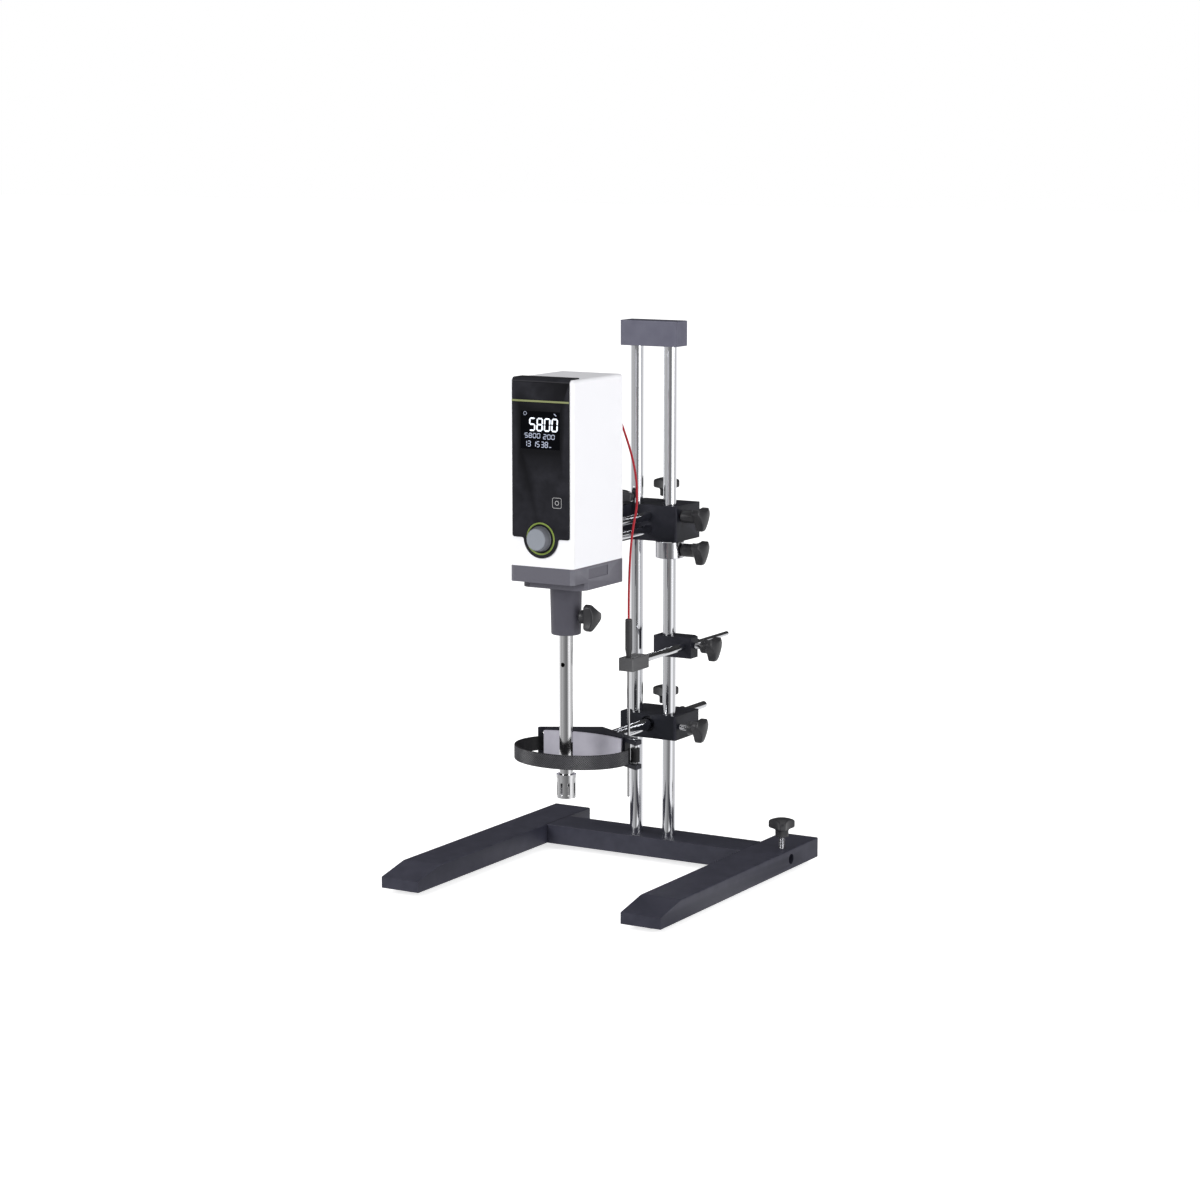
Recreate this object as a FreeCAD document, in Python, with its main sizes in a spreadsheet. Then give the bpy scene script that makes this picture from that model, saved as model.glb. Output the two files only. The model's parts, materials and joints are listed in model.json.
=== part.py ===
"""Laboratory homogenizer on a double column stand: drive, dispersing tool, probe and vessel holder.

Millimetres, +Z up, the operator stands on the -Y side. The origin lies on the bench, under the
middle of the overall footprint. The two columns stand in one line along X at column_y, and the
drive, the tool and the vessel holder lie on the mid plane X = 0.
"""

import FreeCAD
import Part
import math
import os
import Sketcher

# Driving dimensions, in millimetres

SIZES = {
    # Base frame
    "base_front": 252.5,
    "leg_length": 445.5,
    "leg_width": 58.0,
    "leg_height": 27.0,
    "base_width": 422.0,
    "toe_length": 55.0,
    "toe_height": 15.0,
    "frame_corner": 1.5,
    "crossbar_depth": 60.0,
    "column_setback": 89.5,
    "foot_height": 8.0,
    "foot_radius": 12.0,
    "foot_bottom_radius": 9.5,
    "front_foot_setback": 34.0,
    "rear_foot_setback": 48.0,
    "accessory_bore_radius": 7.0,
    "accessory_bore_depth": 50.0,
    "accessory_bore_height": 13.8,
    "accessory_bore_offset": 8.0,
    "leg_knob_inset": 14.5,
    "leg_knob_gap": 16.5,
    # Columns and their cap
    "column_radius": 9.0,
    "column_pitch": 51.4,
    "column_rise": 675.0,
    "column_socket": 12.0,
    "column_bolt_length": 38.0,
    "bolt_head_radius": 6.5,
    "bolt_head_height": 8.0,
    "bolt_radius": 4.0,
    "cap_width": 86.4,
    "cap_depth": 31.0,
    "cap_height": 34.3,
    "cap_socket": 22.0,
    "cap_corner": 1.5,
    "grub_radius": 3.0,
    # Clamp blocks on the columns
    "block_width": 88.0,
    "block_front": 15.0,
    "block_rear": 53.5,
    "block_corner": 3.0,
    "lower_block_bottom": 171.5,
    "lower_block_height": 33.5,
    "upper_block_bottom": 445.5,
    "upper_block_height": 49.0,
    "lug_width": 18.0,
    "lug_reach": 30.0,
    "lug_screw_depth": 12.0,
    "upper_side_knob_z": 480.0,
    "lower_side_knob_z": 188.5,
    "slide_clearance": 0.05,
    "rear_knob_offset": 37.0,
    "mouth_radius": 11.0,
    "mouth_depth": 4.0,
    # Three-lobed clamp knobs
    "knob_radius": 19.0,
    "knob_thickness": 15.5,
    "knob_dome": 4.5,
    "knob_shoulder": 2.0,
    "knob_shoulder_radius": 13.0,
    "knob_crown_radius": 6.0,
    "knob_flute_radius": 50.0,
    "knob_flute_offset": 60.7,
    "knob_edge": 2.5,
    "hub_radius": 9.0,
    "hub_neck_radius": 10.0,
    "hub_length": 10.0,
    "stud_radius": 4.0,
    "lower_side_knob_gap": 12.5,
    "upper_side_knob_gap": 2.0,
    "upper_side_hub_length": 21.0,
    "top_knob_gap": 7.2,
    "boss_knob_gap": 10.0,
    "stud_clearance": 0.3,
    "low_knob_gap": 1.0,
    "low_hub_length": 3.7,
    # Stop ring under the upper block
    "stop_ring_radius": 19.5,
    "stop_ring_height": 23.0,
    "stop_knob_gap": 1.5,
    "stop_hub_length": 20.0,
    # Drive: housing, panel and grey lower part
    "tool_reach": 232.5,
    "housing_width": 95.0,
    "housing_front": 61.5,
    "housing_rear": 68.5,
    "housing_bottom": 444.0,
    "housing_top": 685.5,
    "housing_corner": 5.0,
    "housing_top_edge": 4.5,
    "housing_wall": 3.0,
    "panel_width": 85.0,
    "panel_thickness": 1.6,
    "panel_wrap": 24.0,
    "panel_bottom": 481.5,
    "panel_corner": 3.0,
    "panel_lobe_radius": 25.5,
    "display_width": 58.5,
    "display_height": 48.5,
    "display_bottom": 596.0,
    "display_thickness": 0.6,
    "display_offset": 0.4,
    "accent_height": 2.4,
    "accent_z": 656.1,
    "dial_z": 481.0,
    "dial_ring_radius": 21.0,
    "dial_ring_inner": 18.6,
    "dial_ring_height": 1.2,
    "dial_radius": 16.5,
    "dial_face_radius": 14.3,
    "dial_length": 11.0,
    "dial_gap": 0.5,
    "dial_shaft_radius": 3.0,
    "dial_shaft_length": 14.0,
    "encoder_size": 14.0,
    "lower_rim_height": 21.0,
    "lower_step_setback": 24.0,
    "lower_step_corner": 15.0,
    "side_recess_margin": 4.0,
    "side_recess_front": 39.0,
    "side_recess_rear": 42.0,
    "side_recess_depth": 0.8,
    # Tool collar under the drive
    "collar_top_radius": 20.8,
    "collar_bottom_radius": 19.5,
    "collar_top_z": 412.5,
    "collar_bottom_z": 348.5,
    "collar_flare": 4.0,
    "tool_knob_z": 373.0,
    "tool_knob_gap": 4.0,
    "tool_hub_length": 8.0,
    # Motor, spindle and electronics
    "motor_radius": 31.0,
    "motor_length": 120.0,
    "motor_plate": 5.0,
    "plate_clearance": 0.5,
    "spindle_radius": 5.0,
    "spindle_end_z": 395.0,
    "spindle_grip": 16.0,
    "coupling_grip": 12.0,
    "coupling_radius": 6.8,
    "coupling_length": 18.0,
    "bearing_radius": 13.0,
    "bearing_width": 8.0,
    "board_thickness": 1.6,
    "board_gap": 8.0,
    "board_width": 70.0,
    "board_bottom": 505.0,
    "board_top": 655.0,
    "standoff_radius": 3.0,
    "standoff_inset": 6.0,
    "rod_plate_thickness": 10.0,
    "socket_radius": 5.5,
    "socket_length": 9.0,
    "socket_x": 24.0,
    "socket_z": 633.0,
    # Drive rods
    "drive_rod_radius": 6.5,
    "upper_rod_z": 479.0,
    "lower_rod_z": 461.5,
    "drive_rod_rear": 60.0,
    # Dispersing tool
    "tube_radius": 9.0,
    "tube_wall": 1.5,
    "tube_top_z": 400.0,
    "tube_hole_radius": 3.0,
    "tube_hole_z": 308.5,
    "tube_slot_width": 3.6,
    "tube_slot_bottom": 187.0,
    "tube_slot_top": 205.0,
    "inner_shaft_radius": 3.0,
    "bush_length": 12.0,
    "coupling_room": 40.0,
    "stator_radius": 12.5,
    "stator_wall": 2.0,
    "stator_height": 27.0,
    "stator_bottom_z": 130.5,
    "stator_flange_height": 4.5,
    "stator_flange_radius": 13.3,
    "stator_slot_width": 3.0,
    "stator_slot_height": 17.0,
    "stator_slot_bottom": 134.0,
    "stator_slot_count": 8,
    "rotor_gap": 0.6,
    "rotor_height": 12.0,
    "rotor_bottom_z": 134.5,
    "rotor_slot_width": 4.0,
    # Probe holder and probe
    "boss_left": 9.0,
    "boss_right": 67.0,
    "boss_front": 14.5,
    "boss_rear": 14.5,
    "boss_bottom": 287.5,
    "boss_height": 28.5,
    "boss_corner": 9.0,
    "probe_rod_x": 55.0,
    "probe_rod_z": 303.5,
    "probe_rod_radius": 5.0,
    "probe_rod_tail_radius": 3.2,
    "probe_rod_tail": 85.0,
    "probe_rod_end": 113.0,
    "clip_width": 22.0,
    "clip_length": 44.0,
    "clip_height": 17.0,
    "clip_front": 172.0,
    "clip_drop": 1.0,
    "probe_inset": 8.0,
    "probe_handle_radius": 4.7,
    "probe_handle_foot": 12.0,
    "probe_foot_radius": 3.0,
    "probe_handle_top": 363.0,
    "probe_stem_radius": 2.5,
    "probe_stem_step_z": 244.5,
    "probe_tip_radius": 1.75,
    "probe_tip_z": 123.5,
    # Vessel holder
    "vessel_rod_z": 191.2,
    "vessel_rod_radius": 8.0,
    "vessel_rod_tail_radius": 5.0,
    "vessel_rod_tail": 62.0,
    "vessel_rod_end": 149.0,
    "jaw_back": 137.0,
    "jaw_top": 208.5,
    "jaw_height": 38.5,
    "jaw_half_width": 61.0,
    "jaw_end_depth": 53.0,
    "jaw_rod_socket": 20.0,
    "jaw_slope": 0.57,
    "jaw_middle": 39.0,
    "jaw_arc_radius": 145.0,
    "liner_thickness": 3.0,
    "liner_margin": 1.5,
    "tab_length": 12.5,
    "tab_thickness": 5.0,
    "tab_hole_radius": 2.2,
    "tab_hole_pitch": 22.0,
    "clevis_thickness": 6.0,
    "clevis_length": 27.0,
    "clevis_depth": 15.0,
    "clevis_slot_inset": 2.0,
    "strap_pin_radius": 2.5,
    "strap_pin_inset": 8.0,
    "strap_height": 18.7,
    "strap_thickness": 3.0,
    "strap_half_width": 80.0,
    "strap_half_depth": 65.0,
    "strap_centre": 217.0,
    "strap_drop": 1.5,
    "strap_end": 55.5,
    "strap_eye_radius": 6.0,
    # Probe cable
    "cable_radius": 1.5,
}


class Size:
    """A length, held as its value and as the sheet formula that gives it."""

    def __init__(self, value, formula):
        self.value = value
        self.formula = formula

    def joined(self, other, sign, value):
        return Size(value, f"({self.formula} {sign} {other.formula})")

    def __add__(self, other):
        other = as_size(other)
        return self.joined(other, "+", self.value + other.value)

    def __sub__(self, other):
        other = as_size(other)
        return self.joined(other, "-", self.value - other.value)

    def __mul__(self, other):
        other = as_size(other)
        return self.joined(other, "*", self.value * other.value)

    def __truediv__(self, other):
        other = as_size(other)
        return self.joined(other, "/", self.value / other.value)

    def __radd__(self, other):
        return as_size(other) + self

    def __rsub__(self, other):
        return as_size(other) - self

    def __rmul__(self, other):
        return as_size(other) * self

    def __neg__(self):
        return as_size(0) - self


def as_size(number):
    """A plain number as a Size, so that both can stand in one sum."""
    if isinstance(number, Size):
        return number
    return Size(float(number), f"{float(number)}")


class Sheet:
    """The document's table of driving dimensions, each read by its name."""

    def __init__(self, document):
        table = document.addObject("Spreadsheet::Sheet", "sizes")
        for row, (name, number) in enumerate(SIZES.items(), start=1):
            table.set(f"A{row}", name)
            table.set(f"B{row}", str(number))
            table.setAlias(f"B{row}", name)
            setattr(self, name, Size(float(number), f"sizes.{name}"))


document = FreeCAD.newDocument("homogenizer")
s = Sheet(document)
document.recompute()
nodes = {}

# Places that several pieces share

ZERO = as_size(0)
heel_y = s.leg_length - s.base_front
column_y = heel_y - s.column_setback
leg_top = s.foot_height + s.leg_height
leg_outer = s.base_width / 2
leg_inner = leg_outer - s.leg_width
leg_middle = leg_inner + s.leg_width / 2
column_x = s.column_pitch / 2
column_top = leg_top + s.column_rise
block_front_y = column_y - s.block_front
block_rear_y = column_y + s.block_rear
lower_block_top = s.lower_block_bottom + s.lower_block_height
upper_block_top = s.upper_block_bottom + s.upper_block_height
tool_y = column_y - s.tool_reach
housing_front_y = tool_y - s.housing_front
housing_rear_y = tool_y + s.housing_rear
rear_knob_y = column_y + s.rear_knob_offset
slide_radius = s.column_radius + s.slide_clearance
stud_hole_radius = s.stud_radius + s.slide_clearance
leg_knob_x = leg_outer - s.leg_knob_inset
lug_knob_seat = (s.lug_width / 2 - s.block_width / 2, block_front_y - s.lug_reach / 2, upper_block_top)
panel_face_y = housing_front_y - s.panel_thickness
dial_hole_radius = s.dial_shaft_radius + s.slide_clearance
display_corners = (
    (-s.display_offset - s.display_width / 2, s.display_bottom),
    (s.display_width / 2 - s.display_offset, s.display_bottom + s.display_height),
)
stator_top = s.stator_bottom_z + s.stator_height
probe_y = column_y - s.clip_front + s.probe_inset
clip_rear_y = column_y - s.clip_front + s.clip_length
clip_top = s.probe_rod_z - s.clip_drop + s.clip_height / 2
clip_bottom = clip_top - s.clip_height
jaw_apex_y = column_y - s.jaw_back
jaw_bottom = s.jaw_top - s.jaw_height
jaw_centre_y = jaw_apex_y - s.jaw_middle - s.jaw_arc_radius
strap_centre_y = column_y - s.strap_centre
strap_middle_z = s.jaw_top - s.jaw_height / 2 - s.strap_drop
pin_x = s.jaw_half_width + s.clevis_length - s.strap_pin_inset
pin_y = jaw_apex_y - s.jaw_slope * pin_x - s.clevis_depth / 2

TURNS = {
    "X": FreeCAD.Rotation(FreeCAD.Vector(0, 1, 0), 90),
    "Y": FreeCAD.Rotation(FreeCAD.Vector(1, 0, 0), -90),
    "Z": FreeCAD.Rotation(),
    "-Y": FreeCAD.Rotation(FreeCAD.Vector(1, 0, 0), 90),
}


# Small tools for the document

def bind(item, name, size):
    """Tie one property of an object to the sheet."""
    item.setExpression(name, as_size(size).formula)


def put(item, at, axis="Z", roll=0):
    """Place an object: its own Z along the named axis, its origin at a point of Sizes."""
    turn = TURNS[axis].multiply(FreeCAD.Rotation(FreeCAD.Vector(0, 0, 1), roll))
    item.Placement = FreeCAD.Placement(FreeCAD.Vector(), turn)
    for letter, coordinate in zip("xyz", at):
        bind(item, f"Placement.Base.{letter}", coordinate)
    return item


def box(name, low, high):
    """A box between two corners."""
    item = document.addObject("Part::Box", name)
    for side, start, end in zip(("Length", "Width", "Height"), low, high):
        bind(item, side, end - start)
    return put(item, low)


def cylinder(name, radius, start, length, axis="Z"):
    """A cylinder from the middle of its first end."""
    item = document.addObject("Part::Cylinder", name)
    bind(item, "Radius", radius)
    bind(item, "Height", length)
    return put(item, start, axis)


def cone(name, first, second, start, length, axis="Z"):
    """A cone frustum from the middle of its first end."""
    item = document.addObject("Part::Cone", name)
    bind(item, "Radius1", first)
    bind(item, "Radius2", second)
    bind(item, "Height", length)
    return put(item, start, axis)


def fuse(name, *pieces):
    """One solid of several that touch."""
    item = document.addObject("Part::MultiFuse", name)
    item.Shapes = list(pieces)
    item.Refine = True
    return item


def cut(name, base, *tools):
    """A piece with others taken away from it."""
    item = document.addObject("Part::Cut", name)
    item.Base = base
    item.Tool = tools[0] if len(tools) == 1 else fuse(f"{name}_cuts", *tools)
    item.Refine = True
    return item


def group(name, *pieces):
    """Separate solids that are kept as one sub-part."""
    item = document.addObject("Part::Compound", name)
    item.Links = list(pieces)
    return item


def rounded(name, base, radius, wanted):
    """A piece with the edges that a test picks rounded."""
    document.recompute()
    picked = [number for number, edge in enumerate(base.Shape.Edges, start=1) if wanted(edge)]
    item = document.addObject("Part::Fillet", name)
    item.Base = base
    item.Edges = [(number, radius.value, radius.value) for number in picked]
    return item


def node(name, item):
    """Keep a finished sub-part under its own name."""
    item.Label = name
    nodes[name] = item
    return item


def is_upright(edge):
    """True for a straight edge that runs along Z."""
    return isinstance(edge.Curve, Part.Line) and abs(edge.Curve.Direction.z) > 0.999


def lies_at(edge, height):
    """True for an edge that lies in a level plane."""
    limits = edge.BoundBox
    return abs(limits.ZMin - height.value) < 0.01 and abs(limits.ZMax - height.value) < 0.01


def runs_across(edge):
    """True for an edge along X."""
    limits = edge.BoundBox
    return limits.YLength < 0.01 and limits.ZLength < 0.01


def runs_deep(edge):
    """True for an edge along Y."""
    limits = edge.BoundBox
    return limits.XLength < 0.01 and limits.ZLength < 0.01


# Sketches and the features made from them

def new_body(name):
    """An empty part body."""
    return document.addObject("PartDesign::Body", name)


def new_sketch(body, role, offset=ZERO):
    """A sketch on one of the body's own origin planes, moved along that plane's normal."""
    sketch = body.newObject("Sketcher::SketchObject", f"{body.Name}_sketch")
    plane = next(item for item in body.Origin.OriginFeatures if item.Role == role)
    sketch.AttachmentSupport = [(plane, "")]
    sketch.MapMode = "FlatFace"
    bind(sketch, "AttachmentOffset.Base.z", offset)
    return sketch


def pin_point(sketch, number, end, across, up):
    """Fix one point of a sketch at two Sizes from its origin."""
    for kind, size in (("DistanceX", across), ("DistanceY", up)):
        size = as_size(size)
        place = sketch.addConstraint(Sketcher.Constraint(kind, -1, 1, number, end, size.value))
        sketch.setExpression(f"Constraints[{place}]", size.formula)


def outline(sketch, points):
    """A closed outline of straight lines through points of Sizes."""
    points = [(as_size(across), as_size(up)) for across, up in points]
    places = [FreeCAD.Vector(across.value, up.value, 0) for across, up in points]
    first = sketch.GeometryCount
    count = len(points)
    for start, end in zip(places, places[1:] + places[:1]):
        sketch.addGeometry(Part.LineSegment(start, end), False)
    for number, (across, up) in enumerate(points):
        following = first + (number + 1) % count
        sketch.addConstraint(Sketcher.Constraint("Coincident", first + number, 2, following, 1))
        pin_point(sketch, first + number, 1, across, up)
    return sketch


def circle(sketch, radius, across=ZERO, up=ZERO):
    """A circle of a bound radius about a point of Sizes."""
    radius = as_size(radius)
    centre = FreeCAD.Vector(as_size(across).value, as_size(up).value, 0)
    ring = Part.Circle(centre, FreeCAD.Vector(0, 0, 1), radius.value)
    number = sketch.addGeometry(ring, False)
    place = sketch.addConstraint(Sketcher.Constraint("Radius", number, radius.value))
    sketch.setExpression(f"Constraints[{place}]", radius.formula)
    pin_point(sketch, number, 3, across, up)
    return sketch


def oblong(sketch, low, high):
    """A rectangle between two corners, each a pair of Sizes."""
    corners = [low, (high[0], low[1]), high, (low[0], high[1])]
    return outline(sketch, corners)


def feature(body, kind, sketch, length=None, back=False):
    """A pad, pocket or turned feature from a sketch."""
    item = body.newObject(f"PartDesign::{kind}", f"{body.Name}_{kind.lower()}")
    item.Profile = sketch
    if length is not None:
        bind(item, "Length", length)
    if kind in ("Revolution", "Groove"):
        item.ReferenceAxis = (sketch, ["V_Axis"])
        item.Angle = 360
    item.Reversed = back
    sketch.Visibility = False
    return item


def polar(body, original, count):
    """Copies of a feature about the body's Z axis."""
    item = body.newObject("PartDesign::PolarPattern", f"{body.Name}_pattern")
    axis = next(entry for entry in body.Origin.OriginFeatures if entry.Role == "Z_Axis")
    item.Originals = [original]
    item.Axis = (axis, [""])
    item.Angle = 360
    item.Occurrences = count
    body.Tip = item
    return item


def soften(body, radius, wanted):
    """Round the edges of a body's tip that a test picks."""
    document.recompute()
    tip = body.Tip
    edges = enumerate(tip.Shape.Edges, start=1)
    picked = [f"Edge{number}" for number, edge in edges if wanted(edge)]
    item = body.newObject("PartDesign::Fillet", f"{body.Name}_round")
    item.Base = (tip, picked)
    bind(item, "Radius", radius)
    return item


# Base frame

def legs():
    """Two bars with sloping toes; the right one has a clamped bore for an accessory rod."""
    bore_y = column_y + s.accessory_bore_offset
    bore_z = s.foot_height + s.accessory_bore_height
    for name, inner_side in (("left_leg", -leg_outer), ("right_leg", leg_inner)):
        body = new_body(name)
        side_view = outline(new_sketch(body, "YZ_Plane", inner_side), [
            (-s.base_front, s.foot_height),
            (heel_y, s.foot_height),
            (heel_y, leg_top),
            (s.toe_length - s.base_front, leg_top),
            (-s.base_front, s.foot_height + s.toe_height),
        ])
        feature(body, "Pad", side_view, s.leg_width)
        if name == "right_leg":
            mouth = circle(new_sketch(body, "YZ_Plane", leg_outer), s.accessory_bore_radius, bore_y, bore_z)
            feature(body, "Pocket", mouth, s.accessory_bore_depth)
            hole = circle(new_sketch(body, "XY_Plane", leg_top), stud_hole_radius, leg_knob_x, bore_y)
            feature(body, "Pocket", hole, s.leg_height - s.accessory_bore_height)
        long_edge = s.leg_width.value
        soften(body, s.frame_corner, lambda edge: lies_at(edge, leg_top) and edge.Length > long_edge)
        node(name, body)


def crossbar():
    """The bar between the legs, with sockets for the columns and counterbores for their bolts."""
    body = new_body("crossbar")
    front = column_y - s.crossbar_depth / 2
    back = column_y + s.crossbar_depth / 2
    plan = oblong(new_sketch(body, "XY_Plane", s.foot_height), (-leg_inner, front), (leg_inner, back))
    feature(body, "Pad", plan, s.leg_height)
    for side in (-column_x, column_x):
        socket = circle(new_sketch(body, "XY_Plane", leg_top), s.column_radius, side, column_y)
        feature(body, "Pocket", socket, s.column_socket)
        hole = circle(new_sketch(body, "XY_Plane", leg_top), s.bolt_radius, side, column_y)
        feature(body, "Pocket", hole, s.leg_height)
        head = circle(new_sketch(body, "XY_Plane", s.foot_height), s.bolt_head_radius, side, column_y)
        feature(body, "Pocket", head, s.bolt_head_height, back=True)
    node("crossbar", body)


def rubber_feet():
    """Four tapered feet under the legs."""
    feet = []
    for side in (-leg_middle, leg_middle):
        for along in (s.front_foot_setback - s.base_front, heel_y - s.rear_foot_setback):
            name = f"foot_{len(feet)}"
            feet.append(cone(name, s.foot_bottom_radius, s.foot_radius, (side, along, ZERO), s.foot_height))
    node("rubber_feet", group("rubber_feet", *feet))


def columns():
    """Two polished columns, each with a blind hole for its bolt."""
    foot = leg_top - s.column_socket
    hole_depth = s.foot_height + s.bolt_head_height + s.column_bolt_length - foot
    bolts = []
    for name, side in (("left_column", -column_x), ("right_column", column_x)):
        length = column_top + s.cap_socket - foot
        rod = cylinder(f"{name}_rod", s.column_radius, (side, column_y, foot), length)
        hole = cylinder(f"{name}_hole", s.bolt_radius, (side, column_y, foot), hole_depth)
        node(name, cut(name, rod, hole))
        seat = (side, column_y, s.foot_height + s.bolt_head_height)
        shank = cylinder(f"{name}_shank", s.bolt_radius, seat, s.column_bolt_length)
        head_base = (side, column_y, s.foot_height)
        head = cylinder(f"{name}_head", s.bolt_head_radius, head_base, s.bolt_head_height)
        bolts.append(fuse(f"{name}_bolt", shank, head))
    node("column_bolts", group("column_bolts", *bolts))


def top_cap():
    """The block that ties the column tops together, and the grub screws at its back."""
    body = new_body("top_cap")
    half_width = s.cap_width / 2
    half_depth = s.cap_depth / 2
    corners = (-half_width, column_y - half_depth), (half_width, column_y + half_depth)
    feature(body, "Pad", oblong(new_sketch(body, "XY_Plane", column_top), *corners), s.cap_height)
    grub_z = column_top + s.cap_socket / 2
    screws = []
    for side in (-column_x, column_x):
        socket = circle(new_sketch(body, "XY_Plane", column_top), s.column_radius, side, column_y)
        feature(body, "Pocket", socket, s.cap_socket, back=True)
        hole = circle(new_sketch(body, "XZ_Plane", -(column_y + half_depth)), s.grub_radius, side, grub_z)
        feature(body, "Pocket", hole, half_depth - s.column_radius / 2, back=True)
        start = (side, column_y + s.column_radius, grub_z)
        depth = half_depth - s.column_radius
        screws.append(cylinder(f"cap_grub_{len(screws)}", s.grub_radius, start, depth, "Y"))
    soften(body, s.cap_corner, lambda edge: lies_at(edge, column_top + s.cap_height))
    node("top_cap", body)
    node("cap_grub_screws", group("cap_grub_screws", *screws))


# Clamp knobs

def knob(name, seat, axis, gap, depth, roll=0, hub_length=s.hub_length):
    """A three-lobed knob with its stud; the seat is the middle of the hole's mouth."""
    body = new_body(name)
    neck = gap + hub_length
    crown = neck + s.knob_thickness
    section = outline(new_sketch(body, "XZ_Plane"), [
        (ZERO, -depth),
        (s.stud_radius, -depth),
        (s.stud_radius, gap),
        (s.hub_radius, gap),
        (s.hub_neck_radius, neck),
        (s.knob_radius, neck),
        (s.knob_radius, crown - s.knob_dome),
        (s.knob_shoulder_radius, crown - s.knob_shoulder),
        (s.knob_crown_radius, crown),
        (ZERO, crown),
    ])
    feature(body, "Revolution", section)
    flute = circle(new_sketch(body, "XY_Plane", crown), s.knob_flute_radius, s.knob_flute_offset)
    polar(body, feature(body, "Pocket", flute, s.knob_thickness), 3)

    def lobe_edge(edge):
        middle = edge.CenterOfMass
        return is_upright(edge) and math.hypot(middle.x, middle.y) > s.knob_shoulder_radius.value

    soften(body, s.knob_edge, lobe_edge)
    node(name, put(body, seat, axis, roll))


def knobs():
    """All nine clamp knobs, each reaching to just short of what it clamps."""
    column_reach = s.block_width / 2 - column_x - s.column_radius - s.stud_clearance
    side_x = s.block_width / 2
    half_turn = 180
    quarter_turn = 90
    bore_y = column_y + s.accessory_bore_offset
    leg_reach = s.leg_height - s.accessory_bore_height - s.accessory_bore_radius - s.stud_clearance
    leg_seat = (leg_knob_x, bore_y, leg_top)
    knob("leg_knob", leg_seat, "Z", s.leg_knob_gap, leg_reach)
    lower_side = (side_x, column_y, s.lower_side_knob_z)
    knob("lower_side_knob", lower_side, "X", s.lower_side_knob_gap, column_reach, half_turn)
    upper_side = (side_x, column_y, s.upper_side_knob_z)
    long_hub = s.upper_side_hub_length
    knob("upper_side_knob", upper_side, "X", s.upper_side_knob_gap, column_reach, half_turn, long_hub)
    lower_top = (ZERO, rear_knob_y, lower_block_top)
    lower_reach = lower_block_top - s.vessel_rod_z - s.vessel_rod_radius - s.stud_clearance
    knob("lower_top_knob", lower_top, "Z", s.top_knob_gap, lower_reach)
    upper_top = (ZERO, rear_knob_y, upper_block_top)
    upper_reach = upper_block_top - s.upper_rod_z - s.drive_rod_radius - s.stud_clearance
    knob("upper_top_knob", upper_top, "Z", s.top_knob_gap, upper_reach)
    lug_depth = s.lug_screw_depth
    knob("lug_knob", lug_knob_seat, "Z", s.low_knob_gap, lug_depth, half_turn, s.low_hub_length)
    ring_z = s.upper_block_bottom - s.stop_ring_height / 2
    ring_side = (column_x + s.stop_ring_radius, column_y, ring_z)
    ring_reach = s.stop_ring_radius - s.column_radius - s.stud_clearance
    knob("stop_knob", ring_side, "X", s.stop_knob_gap, ring_reach, half_turn, s.stop_hub_length)
    boss_side = (s.boss_right, column_y, s.probe_rod_z)
    boss_reach = s.boss_right - s.probe_rod_x - s.probe_rod_radius - s.stud_clearance
    knob("boss_knob", boss_side, "X", s.boss_knob_gap, boss_reach, half_turn)
    collar_side = (s.collar_bottom_radius, tool_y, s.tool_knob_z)
    collar_reach = s.collar_bottom_radius - s.tube_radius - s.stud_clearance
    knob("tool_knob", collar_side, "X", s.tool_knob_gap, collar_reach, -quarter_turn, s.tool_hub_length)


# Blocks that slide on the columns

def drill_for_columns(body, top, height):
    """Two sliding bores for the columns."""
    for side in (-column_x, column_x):
        bore = circle(new_sketch(body, "XY_Plane", top), slide_radius, side, column_y)
        feature(body, "Pocket", bore, height)


def drill_for_rod(body, radius, height, across=ZERO):
    """A bore from front to back, with a wider mouth at the front."""
    bore = circle(new_sketch(body, "XZ_Plane", -block_front_y), radius, across, height)
    feature(body, "Pocket", bore, s.block_front + s.block_rear)
    mouth = circle(new_sketch(body, "XZ_Plane", -block_front_y), s.mouth_radius, across, height)
    feature(body, "Pocket", mouth, s.mouth_depth)


def drill_for_knobs(body, side_z, top, top_depth):
    """Screw holes for the side knob and the knob on top."""
    side_hole = circle(new_sketch(body, "YZ_Plane", s.block_width / 2), stud_hole_radius, column_y, side_z)
    feature(body, "Pocket", side_hole, s.block_width / 2 - column_x)
    top_hole = circle(new_sketch(body, "XY_Plane", top), stud_hole_radius, ZERO, rear_knob_y)
    feature(body, "Pocket", top_hole, top_depth)


def soften_block(body, bottom, top):
    """Round the outer corners and top edges of a block."""
    def outer(edge):
        middle = edge.CenterOfMass
        at_end = abs(abs(middle.x) - s.block_width.value / 2) < 0.01
        return is_upright(edge) and at_end and edge.Length > (top - bottom).value - 0.1
    soften(body, s.block_corner, outer)


def lower_block():
    """The clamp block of the vessel holder."""
    body = new_body("lower_block")
    half_width = s.block_width / 2
    plan = oblong(new_sketch(body, "XY_Plane", s.lower_block_bottom), (-half_width, block_front_y),
                  (half_width, block_rear_y))
    feature(body, "Pad", plan, s.lower_block_height)
    drill_for_columns(body, lower_block_top, s.lower_block_height)
    drill_for_rod(body, s.vessel_rod_radius + s.slide_clearance, s.vessel_rod_z)
    drill_for_knobs(body, s.lower_side_knob_z, lower_block_top, lower_block_top - s.vessel_rod_z)
    soften_block(body, s.lower_block_bottom, lower_block_top)
    node("lower_block", body)


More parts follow.
